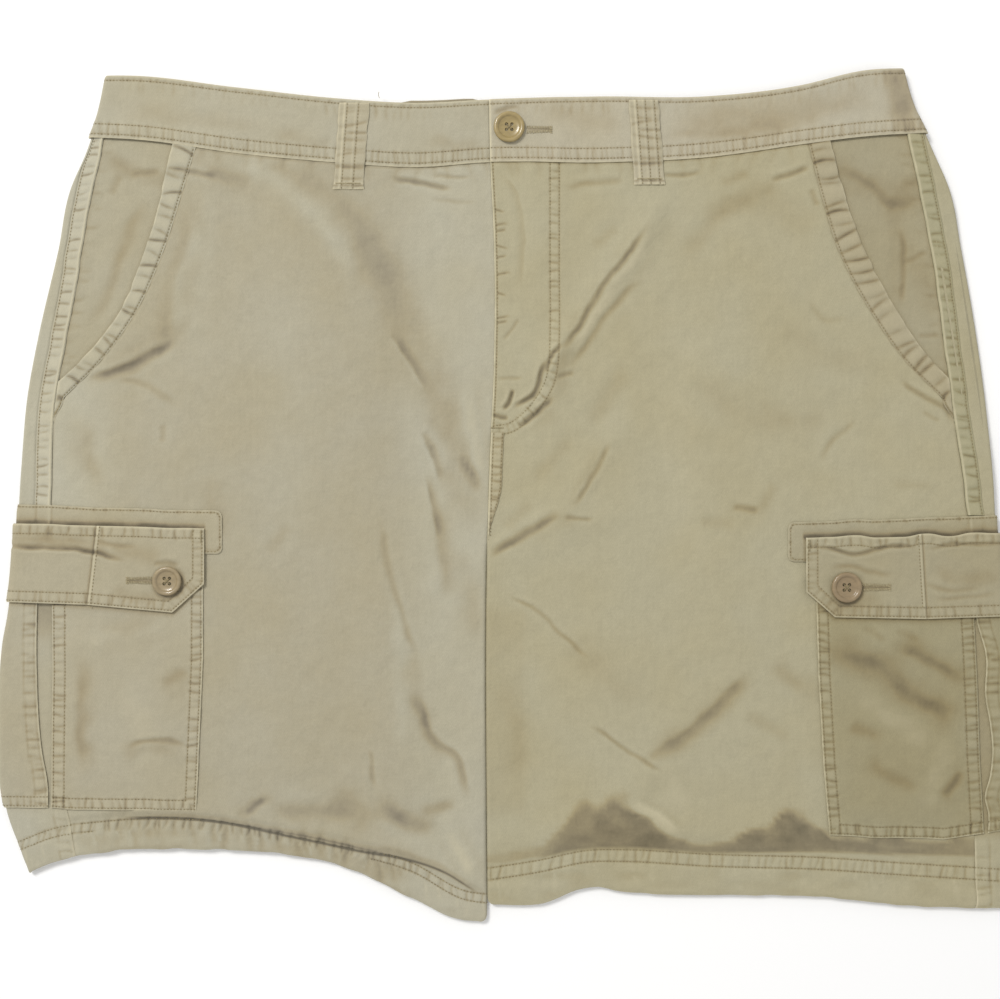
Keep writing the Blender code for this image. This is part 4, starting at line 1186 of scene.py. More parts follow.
def front_face(side):
    outer_row = bend(FLY_OUTER)

    def face(x, y):
        height = settled(x, y) + mouth_lift(side, x, y) + fly_lift(side, x, y) - inseam_drop(side, x, y)
        rise, wear_and_shade = creased(x, y, FRONT_CREASES[side.name])
        parts = (creased(x, y, FRONT_FOLDS[side.name], wear_and_shade_part=0.55), hem_finish(side, x, y), hang(side, x, y))
        for more, wear_and_shade_part in parts:
            rise = rise + more
            wear_and_shade = wear_and_shade + wear_and_shade_part
        # Just under the waistband the panel puckers. Between the puckers and along the seam it is painted
        # darker as shade.
        below = waist_seam(x) - y
        tops = puckers(below, x, 0, 12, 3 + side.sign, 12.0)[0]
        near_band = 1 - soften(below, 1, 15)
        rise = rise + 0.3 * near_band * (tops - 0.5) - 0.35 * bump(below, 1.3)
        wear_and_shade = wear_and_shade - 0.25 * near_band * (1 - tops) ** 2 - 0.3 * bump(below, 1.0)
        inside = side.sign * (x - centre(y)) - SEAM_GAP / 2
        if side is LEFT:
            lap = soften(y, FLY_FOOT - 5, FLY_FOOT + 3)
            more, wear_and_shade_part = edge_finish(inside, y, (FLY_ROW,), 6, pucker=0.12, reach=3, worn_and_shaded=1.1)
            # The lap's small puckers are dents, each painted darker as shade.
            for i, tick in enumerate(LAP_TICKS):
                off = y - tick - 0.18 * (inside - 4) * (1 if i % 3 else -1.5)
                reach = 1 - soften(inside, 4 + i % 3, 9 + 2 * (i % 2))
                dent = bump(off, 0.75) * soften(inside, 1.2, 2.4) * reach
                more = more - 0.35 * dent + 0.2 * bump(off + 2, 1.4) * (dent > 0)
                wear_and_shade_part = wear_and_shade_part - 0.7 * dent
            rise = rise + lap * more
            wear_and_shade = wear_and_shade + lap * wear_and_shade_part
            off, run = beside(x, y, outer_row)
            more, wear_and_shade_part = stitched(-off, run, FLY_ROWS, 8, pucker=0.3, reach=2)
            rise = rise + more * (off < 3)
            wear_and_shade = wear_and_shade + wear_and_shade_part * (off < 3)
            wear_and_shade = wear_and_shade - 0.1 * window(y, -203, -72, 6) * (1 - soften(inside, 22, 28))
        # At its free edge the panel dips and is painted darker as shade.
        outer = panel_edge(side)(y) - np.abs(x)
        return height + rise - 0.2 * bump(outer, 0.9), wear_and_shade - 0.16 * bump(outer, 0.8)
    return face


def laid(name, sign, u, v, edges, face, material, lines=(), **options):
    """A piece that lies flat on the front. Its edges are its inner and outer line, top and foot."""
    x, y = lay(sign, u[None, :], v[:, None], *edges)
    height, wear_and_shade = face(x, y)
    points = np.stack([x, y, height], -1)
    return cloth(name, points, wear_and_shade, material, face=face, lines=lines, **options)


for side in SIDES:
    face = front_face(side)
    edges = (inner_edge(side), panel_edge(side), panel_top, side.hem_edge)
    u = graded(270, 3.0, 0.5, start=2.5, end=1.5, blend=9)
    v = graded(475, 3.1, 1.3, start=8, end=26, blend=14)
    foot = lay(side.sign, u[None, :], v[:, None], *edges)[0][-1]
    across = np.linspace(foot.min(), foot.max(), 60)
    fine = [bend(crease[-1]) for crease in FRONT_CREASES[side.name] if min(crease[1:3]) < SHARP_CREASE]
    if side is LEFT:
        heights = np.linspace(215, FLY_FOOT - 4, 40)
        fine += [bend(FLY_OUTER), bend([(point[0] - 5, point[1]) for point in FLY_OUTER[:6]])]
        fine.append(np.stack([centre(heights) + 4, heights], -1))
    for share in (0.3, 1.0):
        fine.append(np.stack([across, side.hem_stitch(across) - share * side.lower_row], -1))
    if side is RIGHT:
        fine.append(np.stack([across, side.lip(across)], -1))
    piece = laid(
        "Front_panel_" + side.name, side.sign, u, v, edges, face, TWILL[side.name],
        lines=[(line, 2) for line in fine], hem=in_hem(side),
    )
    across = np.linspace(foot.min() + 4, foot.max() - 2, 240)
    low, high = side.one_row
    # Between these parts of the two rows the bulge covers them.
    upper = (across[across < min(low + 68, high)], across[across > high + 8])
    lower = (across[across < low], across[across > high])
    rows = [on_front(face, part, side.hem_stitch(part)) for part in upper if len(part) > 1]
    line = offset(side.hem_stitch, -side.lower_row)
    rows += [on_front(face, part, line(part)) for part in lower if len(part) > 1]
    if side is LEFT:
        heights = np.linspace(209, FLY_FOOT + 1, 130)
        rows.append(on_front(face, centre(heights) + SEAM_GAP / 2 + FLY_ROW, heights))
        line = bend(FLY_OUTER)
        across = np.gradient(line, axis=0)
        across = np.stack([across[:, 1], -across[:, 0]], -1) / np.linalg.norm(across, axis=1)[:, None]
        for row in FLY_ROWS:
            moved = line + row * across
            moved = moved[moved[:, 0] > centre(moved[:, 1]) + 1]
            rows.append(on_front(face, moved[:, 0], moved[:, 1]))
    thread = sew("Front_stitching_" + side.name, rows)
    sewn(piece, "front_" + side.name)


# ---------------------------------------------------------------- pocket bearers
# The cloth that shows inside each slanted pocket: a facing of the same twill, dyed darker, partly
# as less faded because the front panel covers it and partly as painted shade inside the opening. It runs on
# under the front, and is caught in the side seam.

BEARER_UNDER = 14
BEARER_FOOT = 74
BEARER_TWILL = twills("pocket bearer", "#A29B84", "#9C947A")
BEARER_FOLDS = {       # as the front's broad folds
    "right": (
        (-0.5, 5, 6, ((-258, 217), (-236, 205), (-210, 199))),
        (-0.25, 6, 4, ((-228, 190), (-240, 158), (-252, 125))),
    ),
    "left": (
        (-0.7, 9, 9, ((200, 207), (224, 200), (246, 190), (270, 196))),
        (-0.35, 5, 7, ((246, 190), (252, 150), (250, 115))),
        (-0.25, 6, 6, ((252, 160), (264, 140), (272, 112))),
    ),
}
BEARER_CREASES = {
    "right": (
        (-0.4, 3, 4, ((-229, 190), (-244, 155), (-256, 122), (-269, 103))),
        (-0.4, 3, 2, ((-251, 190), (-244, 204))),
        (-0.4, 2, 2, ((-240, 203), (-218, 206))),
    ),
    "left": (
        (-0.4, 3, 2.6, ((208, 207), (231, 198), (244.5, 186), (264, 186))),
        (-0.5, 1.5, 1.5, ((251, 171), (253, 141), (251, 120))),
        (-0.4, 1.5, 1.5, ((251, 148), (269, 155))),
        (-0.4, 1.5, 1.5, ((261, 101.5), (276, 102.4))),
    ),
}


def bearer_face(side):
    def face(x, y):
        rise, wear_and_shade = creased(x, y, BEARER_CREASES[side.name])
        soft, tan = creased(x, y, BEARER_FOLDS[side.name], wear_and_shade_part=0.6)
        rise = rise + soft
        # Beside the mouth's edge and the side seam it is painted darker as shade, and so are the hollows of
        # its puckers.
        beyond = np.abs(x) - side.mouth(y)
        from_seam = side.seam(y) - np.abs(x)
        wear_and_shade = wear_and_shade + tan - 0.15 * bump(np.maximum(beyond, 0), 2.0) - 0.2 * bump(from_seam, 1.2)
        tops, hollow = puckers(from_seam, y, 0, 10, 9 + side.sign, 9.0, 1.1)
        near_seam = 1 - soften(from_seam, 2, 11)
        rise = rise + 0.3 * near_seam * (tops - 0.5 - 0.5 * hollow) - 0.35 * bump(waist_seam(x) - y, 1.3)
        return settled(x, y) + rise, wear_and_shade - 0.4 * near_seam * hollow
    return face


for side in SIDES:
    inner = offset(side.mouth, -BEARER_UNDER)
    edges = (inner, offset(side.seam, -SEAM_GAP / 2), panel_top, steady(BEARER_FOOT))
    u = graded(44, 1.8, 0.9, end=2, blend=4)
    v = graded(145, 1.9, 1.2, start=4, blend=8)
    piece = laid(
        "Pocket_bearer_" + side.name, side.sign, u, v, edges, bearer_face(side), BEARER_TWILL[side.name],
        lines=[(bend(crease[-1]), 1) for crease in BEARER_CREASES[side.name]],
    )
    sewn(piece, "pocket_bearer_" + side.name)


# ---------------------------------------------------------------- slanted pocket mouths
# The turned edge of each slanted pocket, faced and sewn down with a row inside its edge. Washing
# shrank the thread, so the band stands up in round puckers with sharp hollows between.

MOUTH_PROUD = 0.45
MOUTH_PUCKER = 8.5
MOUTH_ROW = 1.3
MOUTH_TWILL = twills("slanted pocket mouth", "#A5A08C", "#9D947A")
MOUTH_SHADE = {"right": (205, -0.45), "left": (212, -0.3)}   # a soft fold runs over it at this height, painted there as shade


def mouth_inner(side):
    return offset(panel_edge(side), SEAM_GAP)


def mouth_outer(side):
    """The opening's edge, which bulges a little between the hollows."""
    inner = mouth_inner(side)

    def edge(y):
        bulging = side.mouth(y) + 0.5 * wander(y, 2.0 * side.sign, 6, 48)
        return np.maximum(np.minimum(bulging, side.seam(y) - SEAM_GAP), inner(y) + 0.5)
    return edge


def mouth_face(side):
    inner = mouth_inner(side)
    outer = mouth_outer(side)
    heights = np.linspace(MOUTH_END, 235, 120)
    slants = -np.gradient(side.mouth(heights), heights)
    lengths = np.concatenate([[0], np.cumsum(np.hypot(np.diff(heights), np.diff(side.mouth(heights))))])

    def face(x, y):
        within = np.abs(x) - inner(y)
        wide = outer(y) - inner(y)
        steep = np.interp(y, heights, slants)
        slant = 1 / np.sqrt(1 + steep ** 2)
        # Puckers lie square to the band, which leans outwards.
        along = np.interp(y, heights, lengths) - within * steep * slant
        tops, hollow = puckers(within, along, 1, wide, 2 + 2 * side.sign, MOUTH_PUCKER, 1.0)
        foot = soften(y, MOUTH_END, MOUTH_END + 14)
        swell = 0.6 * foot * (1 - 0.4 * ramp(within / wide, 0.5, 1))
        off_row = (within - MOUTH_ROW) * slant
        rise = swell * (tops - 0.4 - 0.7 * hollow) - 0.25 * bump(off_row, 0.7)
        free = (outer(y) - np.abs(x)) * slant
        rise = rise - 0.4 * (1 - ramp(free, 0, 1.1)) ** 2
        # Pucker tops are paler. The hollows and the row's groove are painted darker as shade, and the free
        # edge is paler from rubbing.
        wear_and_shade = 0.24 * tops - 1.15 * hollow * foot - 0.3 * bump(off_row, 0.75)
        wear_and_shade = wear_and_shade + (0.2 + 0.25 * wander(along, 3.0, 9, 47)) * (1 - ramp(free, 0.3, 1.4))
        fold_at, depth = MOUTH_SHADE[side.name]
        wear_and_shade = wear_and_shade + depth * bump(y - fold_at, 4) * (0.6 + 0.4 * wander(x, y, 4, 49))
        proud = MOUTH_PROUD * soften(within, 0, 2.6)
        return settled(x, y) + mouth_lift(side, x, y) + proud + rise, wear_and_shade
    return face


for side in SIDES:
    face = mouth_face(side)
    edges = (mouth_inner(side), mouth_outer(side), panel_top, steady(MOUTH_END))
    u = graded(13, 0.9, 0.5, start=2, end=1, blend=2)
    v = graded(170, 0.8, 0.8)
    piece = laid("Pocket_mouth_" + side.name, side.sign, u, v, edges, face, MOUTH_TWILL[side.name])
    heights = np.linspace(waist_seam(side.sign * 200.0) - 2, MOUTH_END + 6, 120)
    row = on_front(face, side.sign * (mouth_inner(side)(heights) + MOUTH_ROW), heights)
    thread = sew("Mouth_stitching_" + side.name, [row])
    sewn(piece, "pocket_mouth_" + side.name)


# ---------------------------------------------------------------- side seams
# The felled side seam: the back panel's edge is turned under and sewn 9 mm in, so a pale ridge
# runs along the fold and ladder-like puckers lie between it and the row of stitching.

SEAM_ROW = 9.3
SEAM_PROUD = 0.95
SEAM_TWILL = twills("side seam", "#ACA793", "#9B9679")


def strip_width(side, y):
    begin, _ = fold_of(side, y)
    return np.minimum(SEAM_STRIP, begin - side.seam(y) - 0.4)


def seam_face(side):
    def face(x, y):
        within = np.abs(x) - side.seam(y)
        wide = strip_width(side, y)
        height = SEAM_PROUD - (SEAM_PROUD - 0.1) * ramp(within, 1.2, wide)
        more, wear_and_shade_part = stitched(
            within, y, (SEAM_ROW,), 4 + side.sign, pucker=0.32, reach=1.5, begin=1.8, pitch=5.8,
        )
        ridge = bump(within - 1.0, 0.75) * (0.75 + 0.25 * wander(y, 4.0, 6, 46))
        rise = more + 0.25 * ridge - 0.7 * (1 - ramp(within, SEAM_GAP, 1.0)) ** 2
        fade = 1 - 0.7 * ramp(within, wide - 2, wide)
        return settled(x, y) + height + rise * fade, 1.4 * wear_and_shade_part * fade + 0.85 * ridge
    return face


for side in SIDES:
    face = seam_face(side)
    outer = lambda y, side=side: side.seam(y) + strip_width(side, y)
    edges = (offset(side.seam, SEAM_GAP), outer, panel_top, steady(PATCH_TOP[side.name] + 1.5))
    u = graded(10, 0.8, 0.45, start=1.5, blend=2)
    v = graded(225, 0.75, 0.75)
    piece = laid("Side_seam_" + side.name, side.sign, u, v, edges, face, SEAM_TWILL[side.name], thick=0.6)
    heights = np.linspace(waist_seam(side.sign * 260.0) - 2, PATCH_TOP[side.name] + 3, 160)
    at = side.seam(heights) + np.minimum(SEAM_ROW, strip_width(side, heights) - 0.8)
    thread = sew("Side_seam_stitching_" + side.name, [on_front(face, side.sign * at, heights)])
    sewn(piece, "side_seam_" + side.name)


# ---------------------------------------------------------------- crotch seam
# Below the fly the fronts are joined by a short felled seam, folded from the left panel's edge.

CROTCH_TWILL = washed_twill("Washed khaki twill, crotch seam", "#A79F84")
CROTCH_TOP = 40
CROTCH_FOOT = -28
CROTCH_PROUD = 0.9
CROTCH_ROWS = (2.0, 0.9)   # from the fold, and from the far edge, where the strip is wide enough
FAR_ROW_ENDS = 44          # of the row's 60 points


def crotch_width(y):
    return 0.8 + 7.6 * soften(y, CROTCH_FOOT - 2, 8)


def crotch_face(x, y):
    within = x - centre(y)
    wide = crotch_width(y)
    height = settled(x, y) + fly_lift(LEFT, x, y) + CROTCH_PROUD - inseam_drop(LEFT, x, y)
    tops, hollow = puckers(within, y, 1.5, wide - 1, 5, 4.2, 0.8)
    groove = bump(within - CROTCH_ROWS[0], 0.65) + bump(wide - within - CROTCH_ROWS[1], 0.65)
    rise = 0.3 * (tops - 0.5 - 0.6 * hollow) - 0.2 * groove - 0.3 * (1 - ramp(within, 0.3, 1.0)) ** 2
    # Pucker hollows, stitch grooves and the far edge are painted darker as shade. The fold is paler from
    # rubbing.
    wear_and_shade = 0.12 * tops - 0.8 * hollow - 0.3 * groove + 0.9 * bump(within - 0.7, 0.6)
    return height + rise - 0.4 * (1 - ramp(wide - within, 0, 1)) ** 2, wear_and_shade - 0.35 * bump(wide - within, 0.7)


outer = lambda y: centre(y) + crotch_width(y)
edges = (offset(centre, 0.3), outer, steady(CROTCH_TOP), steady(CROTCH_FOOT))
u = graded(7, 0.7, 0.4, start=1, end=1, blend=2)
v = graded(CROTCH_TOP - CROTCH_FOOT, 0.8, 0.8)
piece = laid("Crotch_seam", 1, u, v, edges, crotch_face, CROTCH_TWILL)
heights = np.linspace(CROTCH_TOP - 1, CROTCH_FOOT + 3, 60)
upper = heights[:FAR_ROW_ENDS]
rows = [
    on_front(crotch_face, centre(heights) + CROTCH_ROWS[0], heights),
    on_front(crotch_face, outer(upper) - CROTCH_ROWS[1], upper),
]
thread = sew("Crotch_stitching", rows)
sewn(piece, "crotch_seam")


# ---------------------------------------------------------------- waistband
# A straight band of two plies, from the front closing round each side to the middle of the
# back. Its lower edge is sewn with two rows and its folded top with one.

BAND_PROUD = 0.8
BAND_ROWS = (2.5, 8.9)         # above the waist seam
BAND_TOP_ROW = 3.2             # below the top edge
BACK_PEEK = (2.4, -66, -18)    # the back of the band shows above the front: how far, from and to across
BAND_TWILL = twills("waistband", "#A6A08B", "#ABA48F")
# Broad tan clouds along the band, which lies in soft lengthways folds: painted shade, tinted with the dye's
# tan.
BAND_FOLDS = {
    "right": (
        (-0.25, 6, 5, ((-250, 243), (-205, 240), (-150, 234))),
        (-0.3, 4, 4, ((-150, 230), (-120, 224), (-108, 222))),
        (-0.3, 4, 5, ((-52, 226), (-34, 222), (-14, 224))),
    ),
    "left": (
        (-0.25, 7, 6, ((20, 243), (50, 238), (76, 236))),
        (-0.5, 9, 8, ((96, 236), (150, 238), (200, 246), (240, 254))),
        (-0.4, 4, 4, ((98, 228), (140, 229), (190, 236))),
        (-0.8, 8, 7, ((243, 276), (250, 250), (257, 224))),
    ),
}
LAP_CREASE = ((-0.7, 1.3, 1.3, ((-9, 241.5), (0, 245), (9, 246.5))),)
LOOSE_END = ((-80.4, 252.4), (-80.9, 254.0), (-80.6, 255.9))
BUTTONHOLES = {        # across and height of the two ends
    "waist": ((13.5, 231.5), (28.6, 231.8)),
    "right": ((-239.4, -53.7), (-222.3, -53.7)),
    "left": ((225.4, -58.1), (242.6, -58.1)),
}
band_foot = offset(waist_seam, WAIST_GAP / 2)


def cut_shade(name, x, y):
    """1 in the cut of a buttonhole, which is painted as a dark line of shade between its two rows."""
    (ax, ay), (bx, by) = BUTTONHOLES[name]
    off = y - ay - (by - ay) * (x - ax) / (bx - ax)
    return bump(off, 0.75) * window(x, ax, bx, 0.8)


def band_out(side):
    def out(x, y, w):
        front = w < 3
        inside = side.sign * (x - centre(y)) - SEAM_GAP / 2
        from_foot = y - band_foot(x)
        from_top = waist_top(x) - y
        low, wear_and_shade_part = edge_finish(
            from_foot, x, BAND_ROWS, 6 + side.sign, pucker=0.26, roll=0.3, worn_and_shaded=1.0, pitch=3.4,
        )
        high, top_wear_and_shade = stitched(
            from_top, x, (BAND_TOP_ROW,), 2 + side.sign, pucker=0.2, reach=4, begin=1, pitch=4.2,
        )
        rise = BAND_PROUD + low + high - 0.6 * (1 - ramp(from_top, 0, 1.6)) ** 2
        wear_and_shade = wear_and_shade_part + top_wear_and_shade + 0.55 * (1 - ramp(from_top, 0.3, 1.5))
        rise = rise + np.where(front, fly_lift(side, x, 232.0), 0)
        rise = rise + np.where(front, mouth_lift(side, x, y) * (1 - soften(from_foot, 4, 16)), 0)
        rise = rise - np.where(front, 0.35 * (1 - ramp(inside, 0, 0.9)) ** 2, 0)
        wear_and_shade = wear_and_shade + np.where(front & (side is LEFT), 0.9 * (1 - ramp(inside, 0.5, 1.7)), 0)
        rise = rise + 0.25 * wander(x, y, 14, 31) * soften(from_foot, 9, 14) * (1 - soften(from_top, 3, 0))
        # The top draws up in soft upright puckers, with hollows painted darker as shade, and the back shows
        # above it, painted dark as shade.
        tops, hollow = puckers(from_top, x, BAND_TOP_ROW, 12, 5 + side.sign, 6.0, 1.1)
        drawn = soften(from_top, 2, 4) * (1 - soften(from_top, 8, 15)) * (0.5 + 0.5 * wander(x, 0.0, 30, 37))
        rise = rise + 0.22 * drawn * (tops - 0.5 - 0.5 * hollow)
        wear_and_shade = wear_and_shade - 0.5 * drawn * hollow - np.where(w > 12, 0.8 * (1 - ramp(from_top, 1, 4)), 0)
        soft, tan = creased(x, y, BAND_FOLDS[side.name], wear_and_shade_part=0.7)
        rise = rise + soft
        wear_and_shade = wear_and_shade + np.where(front, tan, 0)
        if side is LEFT:
            wear_and_shade = wear_and_shade - np.where(front, 0.8 * cut_shade("waist", x, y), 0)
            fold, worn_and_shaded = creased(x, y, LAP_CREASE)
            rise = rise + np.where(front, fold, 0)
            wear_and_shade = wear_and_shade + np.where(front, worn_and_shaded, 0)
        return rise, wear_and_shade
    return out


for side in SIDES:
    edges = (inner_edge(side), inner_edge(side), band_out(side))
    s = round_shares(262, 262, 0.95, 6.0)
    v = graded(41, 1.2, 0.75, start=4, end=10, blend=4)[:, None]
    points, wear_and_shade = around(side, s, v, waist_top, band_foot, *edges)
    peek, low, high = BACK_PEEK
    points[..., 1] += peek * (s > 1.5) * (1 - v) * window(points[..., 0], low, high, 6)
    piece = cloth("Waistband_" + side.name, points, wear_and_shade, BAND_TWILL[side.name])
    share = np.linspace(0.004, 3, 260)
    lines = [offset(band_foot, row) for row in BAND_ROWS] + [offset(waist_top, -BAND_TOP_ROW)]
    rows = [on_round(side, share, line, *edges) for line in lines]
    trims = [sew("Waistband_stitching_" + side.name, rows)]
    if side is RIGHT:
        loose = bend(LOOSE_END, 0.4)
        loose = np.stack([loose[:, 0], loose[:, 1], 0 * loose[:, 0] + 6], -1)
        trims.append(sew("Loose_thread_end", [(loose, UP)], spacing=0.5, length=0.9, width=0.45))
    sewn(piece, "waistband_" + side.name)


# ---------------------------------------------------------------- belt loops
# Strips of twill with both edges turned in and sewn, caught in the top of the waistband and
# folded under and bar tacked below it. Two are on the front, three on the back.

LOOP_TWILL = washed_twill("Washed khaki twill, belt loops", "#A69E86")
LOOP_WIDTH = 19
LOOP_BELOW_TOP = 2.2
LOOP_PROUD = 1.05
LOOP_TACK = 3.6        # the bar tack's height above the loop's foot
FRONT_LOOPS = {"right": (-96, -100, 194), "left": (87, 91, 197)}   # across at top, at foot, height of foot
LOOP_ROWS = {"right": (0.27, 0.65), "left": (0.27, 0.55, 0.85)}
BACK_LOOPS = {"back_middle": -10, "back_right": -165, "back_left": 150}
BACK_LOOP_FOOT = 196


def loop_middle(name, y):
    top_x, foot_x, foot_y = FRONT_LOOPS[name]
    top_y = waist_top(top_x) - LOOP_BELOW_TOP
    return foot_x + (top_x - foot_x) * (y - foot_y) / (top_y - foot_y)


def loop_face(name):
    top_x, _, foot_y = FRONT_LOOPS[name]
    top_y = waist_top(top_x) - LOOP_BELOW_TOP
    seam_y = waist_seam(top_x)

    def face(x, y):
        share = (x - loop_middle(name, y)) / LOOP_WIDTH + 0.5
        height = settled(x, y) + BAND_PROUD * soften(y, seam_y - 7, seam_y + 1) + LOOP_PROUD
        side_edge = np.minimum(share, 1 - share) * LOOP_WIDTH
        rise = -0.45 * (1 - ramp(side_edge, 0, 1.2)) ** 2
        wear_and_shade = (0.3 + 0.25 * wander(x, y, 5, 41)) * (1 - ramp(side_edge, 0.3, 1.3)) - 0.08
        # Each row's groove is painted darker as shade, with a pale ridge beside it. The puckers' tops are
        # paler and their hollows painted darker as shade.
        for i, row in enumerate(LOOP_ROWS[name]):
            off = (share - row) * LOOP_WIDTH
            rise = rise - 0.22 * bump(off, 0.7) + 0.28 * bump(off + 1.3, 0.9)
            wear_and_shade = wear_and_shade - 0.3 * bump(off, 0.7) + (0.8 if i == 0 else 0.3) * bump(off + 1.3, 0.75)
        across = share * LOOP_WIDTH
        tops, hollow = puckers(across, y, 2, LOOP_WIDTH - 2, 4 if name == "right" else 7, 6.5, 1.0)
        rise = rise + 0.3 * (tops - 0.5 - 0.6 * hollow)
        wear_and_shade = wear_and_shade + 0.14 * tops - 0.55 * hollow
        # It dips over the band's rows and where it leaves its seam, painted darker there as shade, and its
        # foot is folded under, pale at the fold and the bar tack, with a painted shadow line above the fold.
        fold = bump(y - seam_y + 1.5, 1.4) + 1.6 * bump(y - seam_y - 19.5, 0.9) * soften(share, 0.2, 0.5)
        from_foot = y - foot_y
        rise = rise - 0.3 * fold + 0.45 * bump(from_foot - 2.5, 2) - 0.4 * (1 - ramp(from_foot, 0, 1)) ** 2
        wear_and_shade = wear_and_shade - 0.35 * fold + 0.95 * (1 - ramp(from_foot, 0.5, 1.6))
        wear_and_shade = wear_and_shade + 0.5 * bump(from_foot - LOOP_TACK, 0.6)
        wear_and_shade = wear_and_shade - 0.5 * bump(from_foot - 2.4, 0.6)
        from_top = top_y - y
        rise = rise - 0.45 * (1 - ramp(from_top, 0, 1)) ** 2
        return height + rise, wear_and_shade + 0.35 * (1 - ramp(from_top, 0.4, 1.6))
    return face


tacks = []             # bar tacks: dense bars of thread where a seam is loaded
for name, (top_x, _, foot_y) in FRONT_LOOPS.items():
    face = loop_face(name)
    top_y = waist_top(top_x) - LOOP_BELOW_TOP
    half = lambda y: LOOP_WIDTH / 2 + 0.45 * wander(y, top_x, 6, 43) + 0.6 * bump(y - foot_y, 3)
    inner = lambda y: loop_middle(name, y) - half(y)
    outer = lambda y: loop_middle(name, y) + half(y)
    u = graded(LOOP_WIDTH, 0.7, 0.45, start=1, end=1, blend=2)
    v = graded(60, 0.7, 0.5, start=1, end=8, blend=3)
    edges = (inner, outer, steady(top_y), steady(foot_y))
    piece = laid("Belt_loop_front_" + name, 1, u, v, edges, face, LOOP_TWILL, thick=0.8)
    heights = np.linspace(top_y - 1, foot_y + 1, 50)
    middle = loop_middle(name, heights)
    rows = [on_front(face, middle + (row - 0.5) * LOOP_WIDTH, heights) for row in LOOP_ROWS[name]]
    thread = sew("Loop_stitching_" + name, rows)
    sewn(piece, "belt_loop_front_" + name)
    bar = np.linspace(-0.4, 0.4, 20) * LOOP_WIDTH
    tacks.append(on_front(face, loop_middle(name, foot_y) + bar, foot_y + LOOP_TACK + 0 * bar))

for name, across in BACK_LOOPS.items():
    top_y = waist_top(across) - LOOP_BELOW_TOP
    u = graded(LOOP_WIDTH, 1.6, 0.6, start=1, end=1, blend=2)[None, :]
    v = graded(50, 1.6, 0.8, start=1, end=1, blend=3)[:, None]
    x = across + (u - 0.5) * LOOP_WIDTH + 0 * v
    y = top_y + (BACK_LOOP_FOOT - top_y) * v + 0 * u
    side_edge = np.minimum(u, 1 - u) * LOOP_WIDTH + 0 * v
    # It lies under the back with its outer face down, so a groove in it is a rise.
    groove = bump(side_edge - 3.4, 0.7)
    height = 0.3 * (1 - ramp(side_edge, 0, 1.2)) ** 2 + 0.25 * groove
    # Its edges are paler from rubbing, and its grooves are painted darker as shade.
    wear_and_shade = 0.5 * (1 - ramp(side_edge, 0.4, 1.6)) - 0.5 * groove
    piece = cloth("Belt_loop_" + name, np.stack([x, y, height], -1), wear_and_shade, LOOP_TWILL, up=False, thick=1.2)
    sewn(piece, "belt_loop_" + name)


# ---------------------------------------------------------------- cargo pockets
# Bellows pocket on the outside of each leg, over the side seam: a front piece and a rear piece
# with a slit between them, under a flap of two pieces that hangs from a stitched-down patch.

RIGHT_CARGO = SimpleNamespace(
    patch_front=180, patch_top=((-325, -5), (-180, -10)), patch_foot=-37,
    flap_front=191, flap_top=((-325, -17), (-191, -21)), flap_seam=((-19, 259), (-70, 265)),
    flap_foot=((-325, -67), (-265, -69), (-211, -74), (-191, -56)),
    front=((-38, 192), (-104, 192), (-199, 196)),
    foot=((-325, -197), (-257, -199), (-196, -200)),
    slit_in=((-38, 288), (-110, 287), (-200, 288)),
    slit_out=((-38, 296), (-110, 297), (-160, 294), (-186, 290), (-200, 290)),
)
LEFT_CARGO = SimpleNamespace(
    patch_front=179, patch_top=((179, -17), (325, -12)), patch_foot=-42,
    flap_front=190, flap_top=((190, -27), (325, -24)), flap_seam=((-26, 263), (-78, 266)),
    flap_foot=((190, -61), (208, -77), (265, -78), (325, -76)),
    front=((-43, 196), (-115, 198), (-169, 201), (-216, 205)),
    foot=((205, -215), (232, -217), (277, -218), (325, -211)),
    slit_in=((-43, 295), (-115, 298), (-169, 300), (-216, 303)),
    slit_out=(
        (-43, 297.5), (-78, 297.8), (-101, 303.6), (-127, 303.2), (-146, 306.4), (-160, 307.7),
        (-177, 306.4), (-192, 303.2), (-200, 305.2), (-216, 305.5),
    ),
)
CARGO_BACK = 62        # how far the pocket runs round the fold onto the back
PATCH_PROUD = 1.2
FLAP_PROUD = 3.0       # the flap lies on the pocket
FLAP_CURL = 0.5
POCKET_PROUD = 1.4
POCKET_PUFF = 1.2
POCKET_SEWN = 12       # the puff fades out this near the sewn edges
REST_OUT = 3.2         # the pocket's rear sags down to the table
EDGE_ROWS = (1.3, 7.1)
SLIT_ROWS = (1.3, 8.2)
PATCH_ROW = 1.4
FLAP_TOP_ROW = 6.3
FLAP_SEAM_ROW = 2.4
PATCH_CORNER = 4
BUTTON_SHADOWS = {"right": (-214.0, -55.5), "left": (215.0, -59.5)}   # where each button's painted shadow ring lies on its flap
POCKET_TWILL = twills("cargo pocket", "#A49D87", "#968E71")
FLAP_TWILL = twills("cargo flap and its patch", "#A39B83", "#9D957B")
